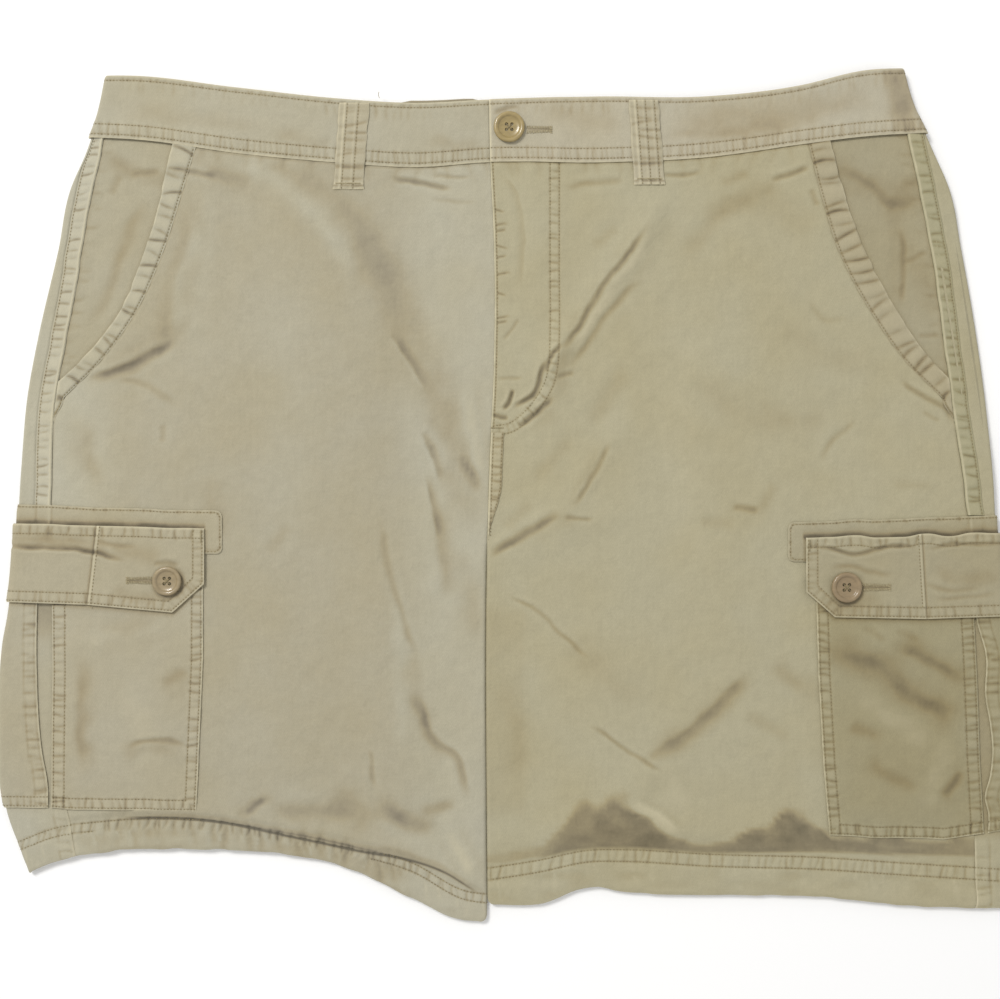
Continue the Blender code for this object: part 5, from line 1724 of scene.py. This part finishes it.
FLAP_CREASES = {
    "right": (
        (-1.3, 1.6, 1.1, ((-318, -32), (-290, -34), (-262, -36), (-248, -40), (-238, -42))),
        (-0.5, 1.3, 1.3, ((-224, -44), (-216, -42), (-206, -44))),
        (-0.4, 1.3, 1.3, ((-262, -28), (-246, -32), (-232, -32))),
    ),
    "left": (
        (-0.5, 1.6, 1.6, ((204, -47), (216, -44), (230, -48), (246, -50))),
        (-1.1, 1.0, 1.4, (
            (194, -32), (208.6, -34), (221.6, -36.2), (232.8, -34), (246, -31.6), (261, -33.7),
        )),
        (-0.7, 1.0, 1.2, ((264, -33), (285, -31), (318, -30))),
        (-0.4, 1.6, 1.6, ((262, -56), (280, -60), (300, -58))),
        (-0.4, 1.4, 1.4, ((270, -66), (290, -64), (312, -62))),
    ),
}
FLAP_FOLDS = {         # as the front's broad folds
    "right": (
        (-0.5, 6, 2, ((-318, -30), (-290, -31), (-262, -34), (-246, -39))),
        (-0.3, 5, 5, ((-252, -60), (-232, -64), (-212, -62))),
        (-0.3, 5, 5, ((-252, -34), (-236, -36), (-216, -40))),
    ),
    "left": (
        (-0.3, 5, 5, ((198, -66), (218, -70), (240, -67))),
        (-0.25, 6, 5, ((268, -45), (290, -52), (315, -50))),
    ),
}
POCKET_FOLDS = {
    "right": (
        (-0.35, 6, 8, ((-262, -90), (-240, -84), (-214, -80))),
        (-0.4, 6, 5, ((-266, -98), (-268, -120), (-267, -150), (-264, -182))),
        (-0.35, 5, 5, ((-246, -164), (-226, -157), (-202, -160))),
        (-0.25, 7, 7, ((-216, -128), (-204, -108))),
        (0.2, 7, 7, ((-246, -120), (-232, -140), (-222, -178))),
    ),
    "left": (
        (-0.8, 10, 9, ((196, -97), (232, -106), (256, -125), (290, -148))),
        (-0.7, 7, 6, ((240, -93), (267, -103), (296, -121))),
        (-0.3, 6, 6, ((214, -146), (240, -156))),
        (-0.3, 8, 8, ((226, -166), (262, -186))),
        (-0.35, 6, 6, ((274, -194), (290, -172))),
        (0.3, 6, 6, ((215, -125), (240, -138), (270, -160))),
        (0.25, 5, 5, ((278, -150), (274, -175), (262, -200))),
    ),
}
POCKET_CREASES = {
    "right": (
        (0.4, 5, 4, ((-268, -100), (-256, -90.5), (-230.5, -86), (-211, -78))),
        (-0.25, 3, 2, ((-268, -104), (-269.5, -136), (-268, -176))),
        (-0.6, 1.4, 1.4, ((-240, -160), (-230.5, -155), (-201, -158))),
        (-0.35, 3, 3, ((-218, -120), (-201, -110))),
    ),
    "left": (
        (-0.3, 4.5, 3.5, ((200, -101), (232, -104), (253, -123), (286, -143))),
        (-0.3, 2.5, 2.5, ((246, -96), (267, -104), (292, -118))),
        (-0.4, 3, 3, ((216.5, -146), (236, -153))),
        (-0.4, 3, 3, ((229, -170), (262, -187))),
        (-0.7, 2.5, 2.5, ((276, -191), (288, -173.5))),
        (-0.3, 2, 2, ((225, -83), (241, -92))),
        (-0.3, 2, 2, ((246, -85), (262, -92))),
    ),
}


def reach_back(side):
    return lambda y: fold_of(side, y)[0] - CARGO_BACK


def to_row(table, wavy=0.0):
    """A row across the leg from a table of the place across and the height, and how wavy it is."""
    row = straight(table)
    return lambda x: row(x) + wavy * wander(x, table[0][1], 15, 57)


def flap_curl(y):
    return FLAP_CURL * soften(y, -50, -75)


for side, cargo in ((RIGHT, RIGHT_CARGO), (LEFT, LEFT_CARGO)):
    side.cargo = cargo
    side.patch_top = to_row(cargo.patch_top, 0.5)
    side.flap_top = to_row(cargo.flap_top, 0.7 if side is RIGHT else 1.3)
    side.flap_foot = to_row(cargo.flap_foot)
    side.flap_corners = sorted(cargo.flap_foot, key=lambda row: abs(row[0]))
    side.flap_seam = straight(cargo.flap_seam)
    side.pocket_front = straight(cargo.front)
    side.pocket_edge = to_row(cargo.foot, 0.6)
    side.slit_in = straight(cargo.slit_in)
    side.slit_out = curve(sorted(cargo.slit_out))


def patch_out(side):
    cargo = side.cargo

    def out(x, y, w):
        from_top = side.patch_top(x) - y
        from_front = np.where(w < 0, np.abs(x) - cargo.patch_front, 99)
        inward = np.maximum(PATCH_CORNER - from_top, 0) ** 2 + np.maximum(PATCH_CORNER - from_front, 0) ** 2
        edge = np.minimum(from_top, from_front)
        edge = np.where(np.maximum(from_top, from_front) < PATCH_CORNER, PATCH_CORNER - np.sqrt(inward), edge)
        edge = np.minimum(edge, y - cargo.patch_foot)
        along = np.where(from_front < from_top, y, x)
        rise, wear_and_shade = edge_finish(
            edge, along, (PATCH_ROW,), 3 + side.sign, pucker=0.3, reach=6, worn_and_shaded=0.3, pitch=7,
        )
        # Just above the flap's top the patch is painted with a line of shadow, where the flap stands off it.
        near_flap = y - side.flap_top(x)
        flap_shadow = bump(near_flap - 0.5, 1.6) + 0.3 * bump(np.maximum(near_flap, 0), 4)
        flap_shadow = flap_shadow * (0.8 + 0.4 * wander(x, 8.0, 9, 55))
        wear_and_shade = wear_and_shade - 1.2 * flap_shadow * (np.abs(x) > cargo.flap_front - 1)
        # The side seam shows through it: a pale ridge, with painted shadow lines beside it and along its row.
        from_seam = np.where(w < 2, np.abs(x) - side.seam(y), 99)
        rise = rise + 0.3 * bump(from_seam - 1.2, 1.0) - 0.15 * bump(from_seam - SEAM_ROW, 0.9)
        wear_and_shade = wear_and_shade + 0.5 * bump(from_seam - 1.0, 0.7) - 0.35 * bump(from_seam + 0.4, 0.7)
        return PATCH_PROUD + rise, wear_and_shade - 0.35 * bump(from_seam - SEAM_ROW, 0.7)
    return out


def rounded(distance, radius):
    """How far a rounded corner is cut back, this far from where its two sides would meet."""
    return radius * (1 - np.sqrt(1 - np.clip(1 - distance / radius, 0, 1) ** 2))


for side in SIDES:
    cargo = side.cargo
    edges = (steady(cargo.patch_front), reach_back(side), patch_out(side))
    s = round_shares(135, CARGO_BACK, 1.5, 4.0)
    v = graded(28, 1.3, 0.55, start=2, blend=3)[:, None]
    points, wear_and_shade = around(side, s, v, side.patch_top, steady(cargo.patch_foot), *edges)
    # Its front corners are cut round.
    corner = rounded(np.abs(points[..., 0]) - cargo.patch_front, PATCH_CORNER) * (s < 1)
    points[..., 1] -= corner * (1 - v) ** 3 - 0.8 * corner * v ** 3
    piece = cloth("Cargo_patch_" + side.name, points, wear_and_shade, FLAP_TWILL[side.name])
    face = lambda x, y: (settled(x, y) + PATCH_PROUD - 0.2, 0)
    rows = [on_round(side, np.linspace(0.04, 3, 120), offset(side.patch_top, -PATCH_ROW), *edges)]
    top = side.patch_top(side.sign * 182.0) - PATCH_ROW
    low = cargo.patch_foot + PATCH_ROW
    turn = (
        (11, low), (4, low), (PATCH_ROW, low + 2.4), (PATCH_ROW, top - 3), (2.6, top - 0.7), (5, top),
    )
    share = np.linspace(0, 5, 60)
    across, heights = (np.interp(share, range(6), column) for column in zip(*turn))
    rows.append(on_front(face, side.sign * (cargo.patch_front + across), heights))
    thread = sew("Patch_stitching_" + side.name, rows)
    sewn(piece, "cargo_patch_" + side.name)


def flap_outline(side):
    """The flap's free edge, from its top front corner down and round to the outer fold."""
    front = side.sign * side.cargo.flap_front
    return np.array([(front, side.flap_top(front) + 6), *side.flap_corners], float)


def flap_finish(side, x, y, front):
    off, run = beside(x, y, flap_outline(side))
    free = np.abs(np.where(front, off, y - side.flap_foot(x)))
    rise, wear_and_shade = edge_finish(
        free, np.where(front, run, np.abs(x)), EDGE_ROWS, 2 + side.sign, pucker=0.28, reach=3,
    )
    from_top = side.flap_top(x) - y
    high, wear_and_shade_part = stitched(
        from_top, x, (FLAP_TOP_ROW,), 8 + side.sign, pucker=0.36, reach=3, begin=0.5, pitch=5.5,
    )
    rise = rise + high - 0.4 * (1 - ramp(from_top, 0, 1)) ** 2
    wear_and_shade = wear_and_shade + wear_and_shade_part + 0.55 * (1 - ramp(from_top, 0.4, 1.5)) - 0.8 * cut_shade(side.name, x, y)
    # Each button throws a painted ring of shadow on its flap.
    button_x, button_y = BUTTON_SHADOWS[side.name]
    wear_and_shade = wear_and_shade - 0.7 * bump(np.hypot(x - button_x - 0.8, y - button_y) - 8.6, 1.9)
    folds, worn_and_shaded = creased(x, y, FLAP_CREASES[side.name])
    soft, tan = creased(x, y, FLAP_FOLDS[side.name], wear_and_shade_part=0.9)
    return rise + folds + soft, wear_and_shade + worn_and_shaded + tan


def flap_face(side):
    def face(x, y):
        x, y = np.broadcast_arrays(x, y)
        rise, wear_and_shade = flap_finish(side, x, y, np.ones(x.shape, bool))
        # Along the seam to the rear piece a ridge is paler, and the joint is painted darker as shade.
        joint = side.flap_seam(y) - np.abs(x)
        rise = rise - 0.35 * bump(joint, 1.0)
        wear_and_shade = wear_and_shade + 0.6 * bump(joint - 1.2, 0.7) - 0.5 * bump(joint, 0.6)
        return settled(x, y) + FLAP_PROUD + flap_curl(y) + rise, wear_and_shade
    return face


def flap_out(side):
    def out(x, y, w):
        x, y, w = np.broadcast_arrays(x, y, w)
        rise, wear_and_shade = flap_finish(side, x, y, w < 0)
        # The joint with the front piece is painted darker as shade.
        joint = np.where(w < 0, np.abs(x) - side.flap_seam(y), 99)
        curl = flap_curl(y) * (1 - ramp(w, 0, 8))
        return FLAP_PROUD + curl + rise - 0.3 * bump(joint, 1.0), wear_and_shade - 0.6 * bump(joint, 0.8)
    return out


for side in SIDES:
    cargo = side.cargo
    face = flap_face(side)
    edges = (steady(cargo.flap_front), offset(side.flap_seam, -SEAM_GAP / 2), side.flap_top, side.flap_foot)
    u = graded(72, 0.9, 0.6, start=2, end=2, blend=3)
    v = graded(52, 0.9, 0.6, start=2, end=2, blend=3)
    piece = laid("Cargo_flap_front_" + side.name, side.sign, u, v, edges, face, FLAP_TWILL[side.name])
    rows = []
    corner_x, corner_y = side.flap_corners[1]
    low = side.flap_foot(side.sign * (cargo.flap_front + 0.1))
    for row in EDGE_ROWS:
        path = (
            (side.sign * (cargo.flap_front + row), side.flap_top(side.sign * 195.0) - 2),
            (side.sign * (cargo.flap_front + row), low + 0.62 * row),
            (side.sign * (abs(corner_x) + 0.4 * row), corner_y + row),
            (side.sign * 264.0, side.flap_foot(side.sign * 264.0) + row),
        )
        rows.append(on_path(face, path, 130))
    across = side.sign * np.linspace(cargo.flap_front + 1, 262, 80)
    rows.append(on_front(face, across, side.flap_top(across) - FLAP_TOP_ROW))
    heights = np.linspace(side.flap_top(side.sign * 260.0) - 1, -70, 50)
    rows.append(on_front(face, side.sign * (side.flap_seam(heights) - FLAP_SEAM_ROW), heights))
    thread = sew("Flap_stitching_" + side.name, rows)
    sewn(piece, "cargo_flap_front_" + side.name)

    edges = (offset(side.flap_seam, SEAM_GAP / 2), reach_back(side), flap_out(side))
    s = round_shares(48, CARGO_BACK, 1.15, 4.0)
    points, wear_and_shade = around(side, s, v[:, None], side.flap_top, side.flap_foot, *edges)
    piece = cloth("Cargo_flap_rear_" + side.name, points, wear_and_shade, FLAP_TWILL[side.name])
    share = np.linspace(0.02, 3, 110)
    lines = [offset(side.flap_foot, row) for row in EDGE_ROWS] + [offset(side.flap_top, -FLAP_TOP_ROW)]
    rows = [on_round(side, share, line, *edges) for line in lines]
    thread = sew("Flap_rear_stitching_" + side.name, rows)
    sewn(piece, "cargo_flap_rear_" + side.name)


def free_of_ends(side, y):
    """1 where the pocket is free of the flap above and of its sewn foot."""
    foot = side.pocket_edge(side.sign * 260.0)
    return soften(y, -76, -96) * soften(y, foot, foot + 2 * POCKET_SEWN)


def pocket_face(side):
    def face(x, y):
        x, y = np.broadcast_arrays(x, y)
        from_front = np.abs(x) - side.pocket_front(y)
        from_foot = y - side.pocket_edge(x)
        sewn_edge = np.minimum(from_front, from_foot)
        rise, wear_and_shade = edge_finish(
            sewn_edge, np.where(from_front < from_foot, y, x), EDGE_ROWS, 6 + side.sign, pucker=0.4, reach=3,
        )
        from_slit = side.slit_in(y) - np.abs(x)
        parts = (
            edge_finish(from_slit, y, SLIT_ROWS, 3 - side.sign, pucker=0.36, reach=3, worn_and_shaded=0.3),
            creased(x, y, POCKET_CREASES[side.name]),
            creased(x, y, POCKET_FOLDS[side.name], wear_and_shade_part=0.7),
        )
        for more, wear_and_shade_part in parts:
            rise = rise + more
            wear_and_shade = wear_and_shade + wear_and_shade_part
        inside = np.minimum(from_front, from_slit + POCKET_SEWN / 2)
        puff = POCKET_PUFF * free_of_ends(side, y) * soften(inside, 0, 2 * POCKET_SEWN)
        # Just under the flap's foot the pocket is painted darker as the flap's shadow.
        shade = bump(np.maximum(side.flap_foot(x) - y, 0), 2.4)
        return settled(x, y) + POCKET_PROUD + puff + rise, wear_and_shade - 0.5 * shade
    return face


def pocket_out(side):
    def out(x, y, w):
        x, y, w = np.broadcast_arrays(x, y, w)
        from_slit = np.where(w < 0, np.abs(x) - side.slit_out(y), 99)
        rise, wear_and_shade = edge_finish(from_slit, y, SLIT_ROWS, 4 + side.sign, pucker=0.4, reach=3)
        from_foot = y - side.pocket_edge(x)
        more, wear_and_shade_part = edge_finish(from_foot, x, EDGE_ROWS, 9 + side.sign, pucker=0.36, reach=4)
        radius = fold_of(side, y)[1]
        sag = (REST_OUT - POCKET_PROUD) * free_of_ends(side, y) * np.clip(w / (math.pi * radius), 0, 1)
        # Just under the flap's foot the pocket is painted darker as the flap's shadow.
        shade = bump(np.maximum(side.flap_foot(x) - y, 0), 2.0)
        return POCKET_PROUD + sag + rise + more, wear_and_shade + wear_and_shade_part - 0.45 * shade
    return out


for side in SIDES:
    cargo = side.cargo
    face = pocket_face(side)
    top = steady(cargo.patch_foot - 1)
    edges = (side.pocket_front, side.slit_in, top, side.pocket_edge)
    u = graded(96, 1.9, 0.8, start=8, end=9, blend=6)
    v = graded(165, 1.9, 0.9, end=8, blend=8)
    heights = np.linspace(cargo.patch_foot - 25, side.pocket_edge(side.sign * 230.0), 40)
    across = np.linspace(side.pocket_front(-200.0), side.slit_in(-200.0), 30) * side.sign
    fine = [bend(crease[-1]) for crease in POCKET_CREASES[side.name]]
    fine.append(np.stack([side.sign * (side.pocket_front(heights) + 4), heights], -1))
    fine.append(np.stack([side.sign * (side.slit_in(heights) - 4), heights], -1))
    fine.append(np.stack([across, side.pocket_edge(across) + 4], -1))
    piece = laid(
        "Cargo_pocket_front_" + side.name, side.sign, u, v, edges, face, POCKET_TWILL[side.name],
        lines=[(line, 1) for line in fine],
    )
    rows = []
    for row in EDGE_ROWS:
        low = side.pocket_edge(side.sign * 200.0) + row
        heights = np.linspace(cargo.patch_foot - 30, low, 90)
        rows.append(on_front(face, side.sign * (side.pocket_front(heights) + row), heights))
        across = side.sign * np.linspace(side.pocket_front(low) + row, side.slit_in(low) - 1, 70)
        rows.append(on_front(face, across, side.pocket_edge(across) + row))
    for row in SLIT_ROWS:
        heights = np.linspace(cargo.patch_foot - 30, side.pocket_edge(side.sign * 290.0) + 2, 90)
        rows.append(on_front(face, side.sign * (side.slit_in(heights) - row), heights))
    thread = sew("Pocket_stitching_" + side.name, rows)
    sewn(piece, "cargo_pocket_front_" + side.name)

    edges = (side.slit_out, reach_back(side), pocket_out(side))
    s = round_shares(20, CARGO_BACK, 1.1, 4.0)
    v = graded(165, 1.8, 0.9, end=8, blend=8)[:, None]
    points, wear_and_shade = around(side, s, v, top, side.pocket_edge, *edges)
    piece = cloth("Cargo_pocket_rear_" + side.name, points, wear_and_shade, POCKET_TWILL[side.name])
    share = np.linspace(0.02, 3, 90)
    rows = [on_round(side, share, offset(side.pocket_edge, row), *edges) for row in EDGE_ROWS]
    thread = sew("Pocket_rear_stitching_" + side.name, rows)
    sewn(piece, "cargo_pocket_rear_" + side.name)


# ---------------------------------------------------------------- bar tacks and buttonholes
# Short bars of dense stitching: at the foot of the fly, the ends of the pocket mouths and the
# belt loops. Each buttonhole is a cut edged with the same thread, beside its button.

face = front_face(LEFT)
across = np.linspace(-9.4, -1.8, 24)
for height in (FLY_FOOT, FLY_FOOT - 3.4):
    tacks.append(on_front(face, across, height + 0 * across))
for side in SIDES:
    face = mouth_face(side)
    heights = np.linspace(MOUTH_END + 3, MOUTH_END + 12, 20)
    tacks.append(on_front(face, side.sign * (mouth_inner(side)(heights) + 1.2), heights))
    face = flap_face(side)
    heights = np.linspace(-1.5, -8.5, 20) + side.flap_top(side.sign * 192.0)
    tacks.append(on_front(face, side.sign * (side.cargo.flap_front + 2 + 0 * heights), heights))
sew("Bar_tacks", tacks, spacing=0.7, length=1.5, turn=math.pi / 2, thread=FADED_THREAD)


def band_face(x, y):
    rise, wear_and_shade = band_out(LEFT)(x, y, 0 * x - 5)
    return settled(x, y) + rise, wear_and_shade


edged = []
for name, ((ax, ay), (bx, by)) in BUTTONHOLES.items():
    face = band_face if name == "waist" else flap_face(RIGHT if name == "right" else LEFT)
    for off in (-1.7, 1.7):
        share = np.linspace(0, 1, 40)
        taper = 1 - 0.4 * (share if name != "right" else 1 - share)
        edged.append(on_front(face, ax + (bx - ax) * share, ay + (by - ay) * share + off * taper))
    tip = bx if name != "right" else ax
    heights = np.linspace(-1.9, 1.9, 10)
    edged.append(on_front(face, tip + 0 * heights, ay + heights))
sew("Buttonhole_stitching", edged, spacing=1.0, length=2.7, width=0.7, turn=1.3, thread=FADED_THREAD)


# ---------------------------------------------------------------- buttons
# Four-hole buttons turned from horn-coloured resin, with a raised rim and a polished, mottled
# face, each sewn on with a cross of thread.

BUTTONS = {            # across, height, radius, dye
    "button_waist": (2, 233, 9.8, "#968457"),
    "button_cargo_right": (-214, -54, 9.2, "#928263"),
    "button_cargo_left": (215, -58, 9.6, "#8A7759"),
}
BUTTON_RIM = 2.6
BUTTON_HOLE = 1.05
BUTTON_HOLE_OUT = 2.4
CLOUD = 6.0
TURNING_MARK = 0.4     # too fine to see one by one
BUTTON_PROFILE = (     # share of the radius, share of the rim's height
    (0, 0), (0.72, 0), (0.86, 0.08), (0.96, 0.25), (1, 0.48), (0.99, 0.72), (0.955, 0.9), (0.9, 0.985),
    (0.84, 1), (0.78, 0.96), (0.72, 0.8), (0.68, 0.62), (0.63, 0.5), (0.4, 0.46), (0, 0.44),
)


def horn(name, dye):
    """Polished polyester resin made to look like horn: clouded in layers, with a soft gloss."""
    material, tree, shader = principled(name)
    shader.inputs["Roughness"].default_value = 0.3
    shader.inputs["IOR"].default_value = 1.54
    shader.inputs["Coat Weight"].default_value = 0.25
    place = node(tree, "ShaderNodeTexCoord")
    drawn = node(tree, "ShaderNodeMapping", [("Vector", place, "Object"), ("Scale", None, (1, 2.2, 1))])
    clouds = noise(tree, drawn, "Vector", CLOUD, 5.0, 0.8)
    layers = two_shades(tree, clouds, (0.3, linear(dye, 0.86)), (0.72, linear(dye, 1.12)))
    tree.links.new(layers.outputs["Color"], shader.inputs["Base Color"])
    relief = node(tree, "ShaderNodeBump", [
        ("Height", noise(tree, place, "Object", TURNING_MARK), "Fac"), ("Distance", None, 0.00001),
        ("Strength", None, 0.3),
    ])
    tree.links.new(relief.outputs["Normal"], shader.inputs["Normal"])
    return material


for name, (across, high, radius, dye) in BUTTONS.items():
    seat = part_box(name)[0][2]
    mesh = bpy.data.meshes.new(name)
    points = [(share * radius * MM, 0, up * BUTTON_RIM * MM) for share, up in BUTTON_PROFILE]
    mesh.from_pydata(points, [(i, i + 1) for i in range(len(points) - 1)], [])
    draft = linked(name + "_draft", mesh)
    turn = draft.modifiers.new("turn", "SCREW")
    turn.steps = turn.render_steps = 64
    turn.use_merge_vertices = True
    turn.merge_threshold = 0.00002
    turn.use_normal_flip = True
    drills = []
    for i in range(4):
        angle = math.radians(45 + 90 * i)
        shape = bmesh.new()
        bmesh.ops.create_cone(
            shape, cap_ends=True, segments=16, radius1=BUTTON_HOLE * MM, radius2=BUTTON_HOLE * MM,
            depth=4 * BUTTON_RIM * MM,
        )
        drill = linked(f"{name}_drill_{i}", bpy.data.meshes.new("drill"))
        shape.to_mesh(drill.data)
        shape.free()
        drill.location = (BUTTON_HOLE_OUT * math.cos(angle) * MM, BUTTON_HOLE_OUT * math.sin(angle) * MM, 0)
        hole = draft.modifiers.new(f"hole {i}", "BOOLEAN")
        hole.object = drill
        drills.append(drill)
    piece = plain(draft, name.replace("button", "Button"))
    for drill in drills:
        bpy.data.objects.remove(drill)
    for vertex in piece.data.vertices:
        vertex.co.x += across * MM
        vertex.co.y += high * MM
        vertex.co.z += seat
    piece.data.materials.clear()
    piece.data.materials.append(horn("Horn-coloured resin, " + name.replace("button_", ""), dye))
    piece.data.shade_smooth()
    piece.data.set_sharp_from_angle(angle=math.radians(SHARP))
    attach(piece, "root")
    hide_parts(name)
    bars = []
    for sign in (-1, 1):
        reach = np.linspace(-1, 1, 9) * BUTTON_HOLE_OUT * 0.72
        level = seat / MM + 0.44 * BUTTON_RIM + 0.35 * (1 - (reach / BUTTON_HOLE_OUT) ** 2)
        bars.append((np.stack([across + reach, high + sign * reach, level], -1), UP))
    sew(name.replace("button", "Shank") + "_thread", bars, spacing=0.5, length=1.1, width=0.8)


# ---------------------------------------------------------------- floor, light and camera

FRAME_WIDE = 0.635                 # metres across the picture, at the height of the cloth
CLOTH_HIGH = 0.005
LENS = 50
SENSOR = 36
PICTURE_MIDDLE = (-0.0038, -0.0025)
FLOOR_REACH = 4
FLOOR_LOW = -0.0004                # just under the cloth

floor_mesh = bpy.data.meshes.new("Floor")
corners = ((-1, -1), (1, -1), (1, 1), (-1, 1))
points = [(x * FLOOR_REACH, y * FLOOR_REACH, FLOOR_LOW) for x, y in corners]
floor_mesh.from_pydata(points, [], [(0, 1, 2, 3)])
floor = linked("Floor", floor_mesh)
paper, _, shader = principled("White seamless paper")
shader.inputs["Base Color"].default_value = (0.92, 0.92, 0.92, 1)
shader.inputs["Roughness"].default_value = 0.9
floor_mesh.materials.append(paper)

world = bpy.data.worlds.new("Soft white studio")
world.use_nodes = True
world.node_tree.nodes["Background"].inputs["Color"].default_value = (1.0, 0.997, 0.99, 1)
world.node_tree.nodes["Background"].inputs["Strength"].default_value = 0.72
bpy.context.scene.world = world

LIGHT_AT = (-1.3, 1.4, 2.2)        # above the left shoulder, so that the lower right is dimmer
key = bpy.data.lights.new("Softbox", "AREA")
key.energy = 52.0
key.shape = "SQUARE"
key.size = 0.8
key.color = (1.0, 0.99, 0.97)
key_light = linked("Softbox", key)
key_light.location = LIGHT_AT
toward = -np.array(LIGHT_AT)
level = math.hypot(toward[0], toward[1])
key_light.rotation_euler = (math.atan2(level, -toward[2]), 0, math.atan2(toward[1], toward[0]) - math.pi / 2)

lens = bpy.data.cameras.new("Camera")
lens.lens = LENS
lens.sensor_width = SENSOR
camera = linked("Camera", lens)
camera.location = (*PICTURE_MIDDLE, FRAME_WIDE * LENS / SENSOR + CLOTH_HIGH)
bpy.context.scene.camera = camera
bpy.context.scene.view_settings.view_transform = "Standard"
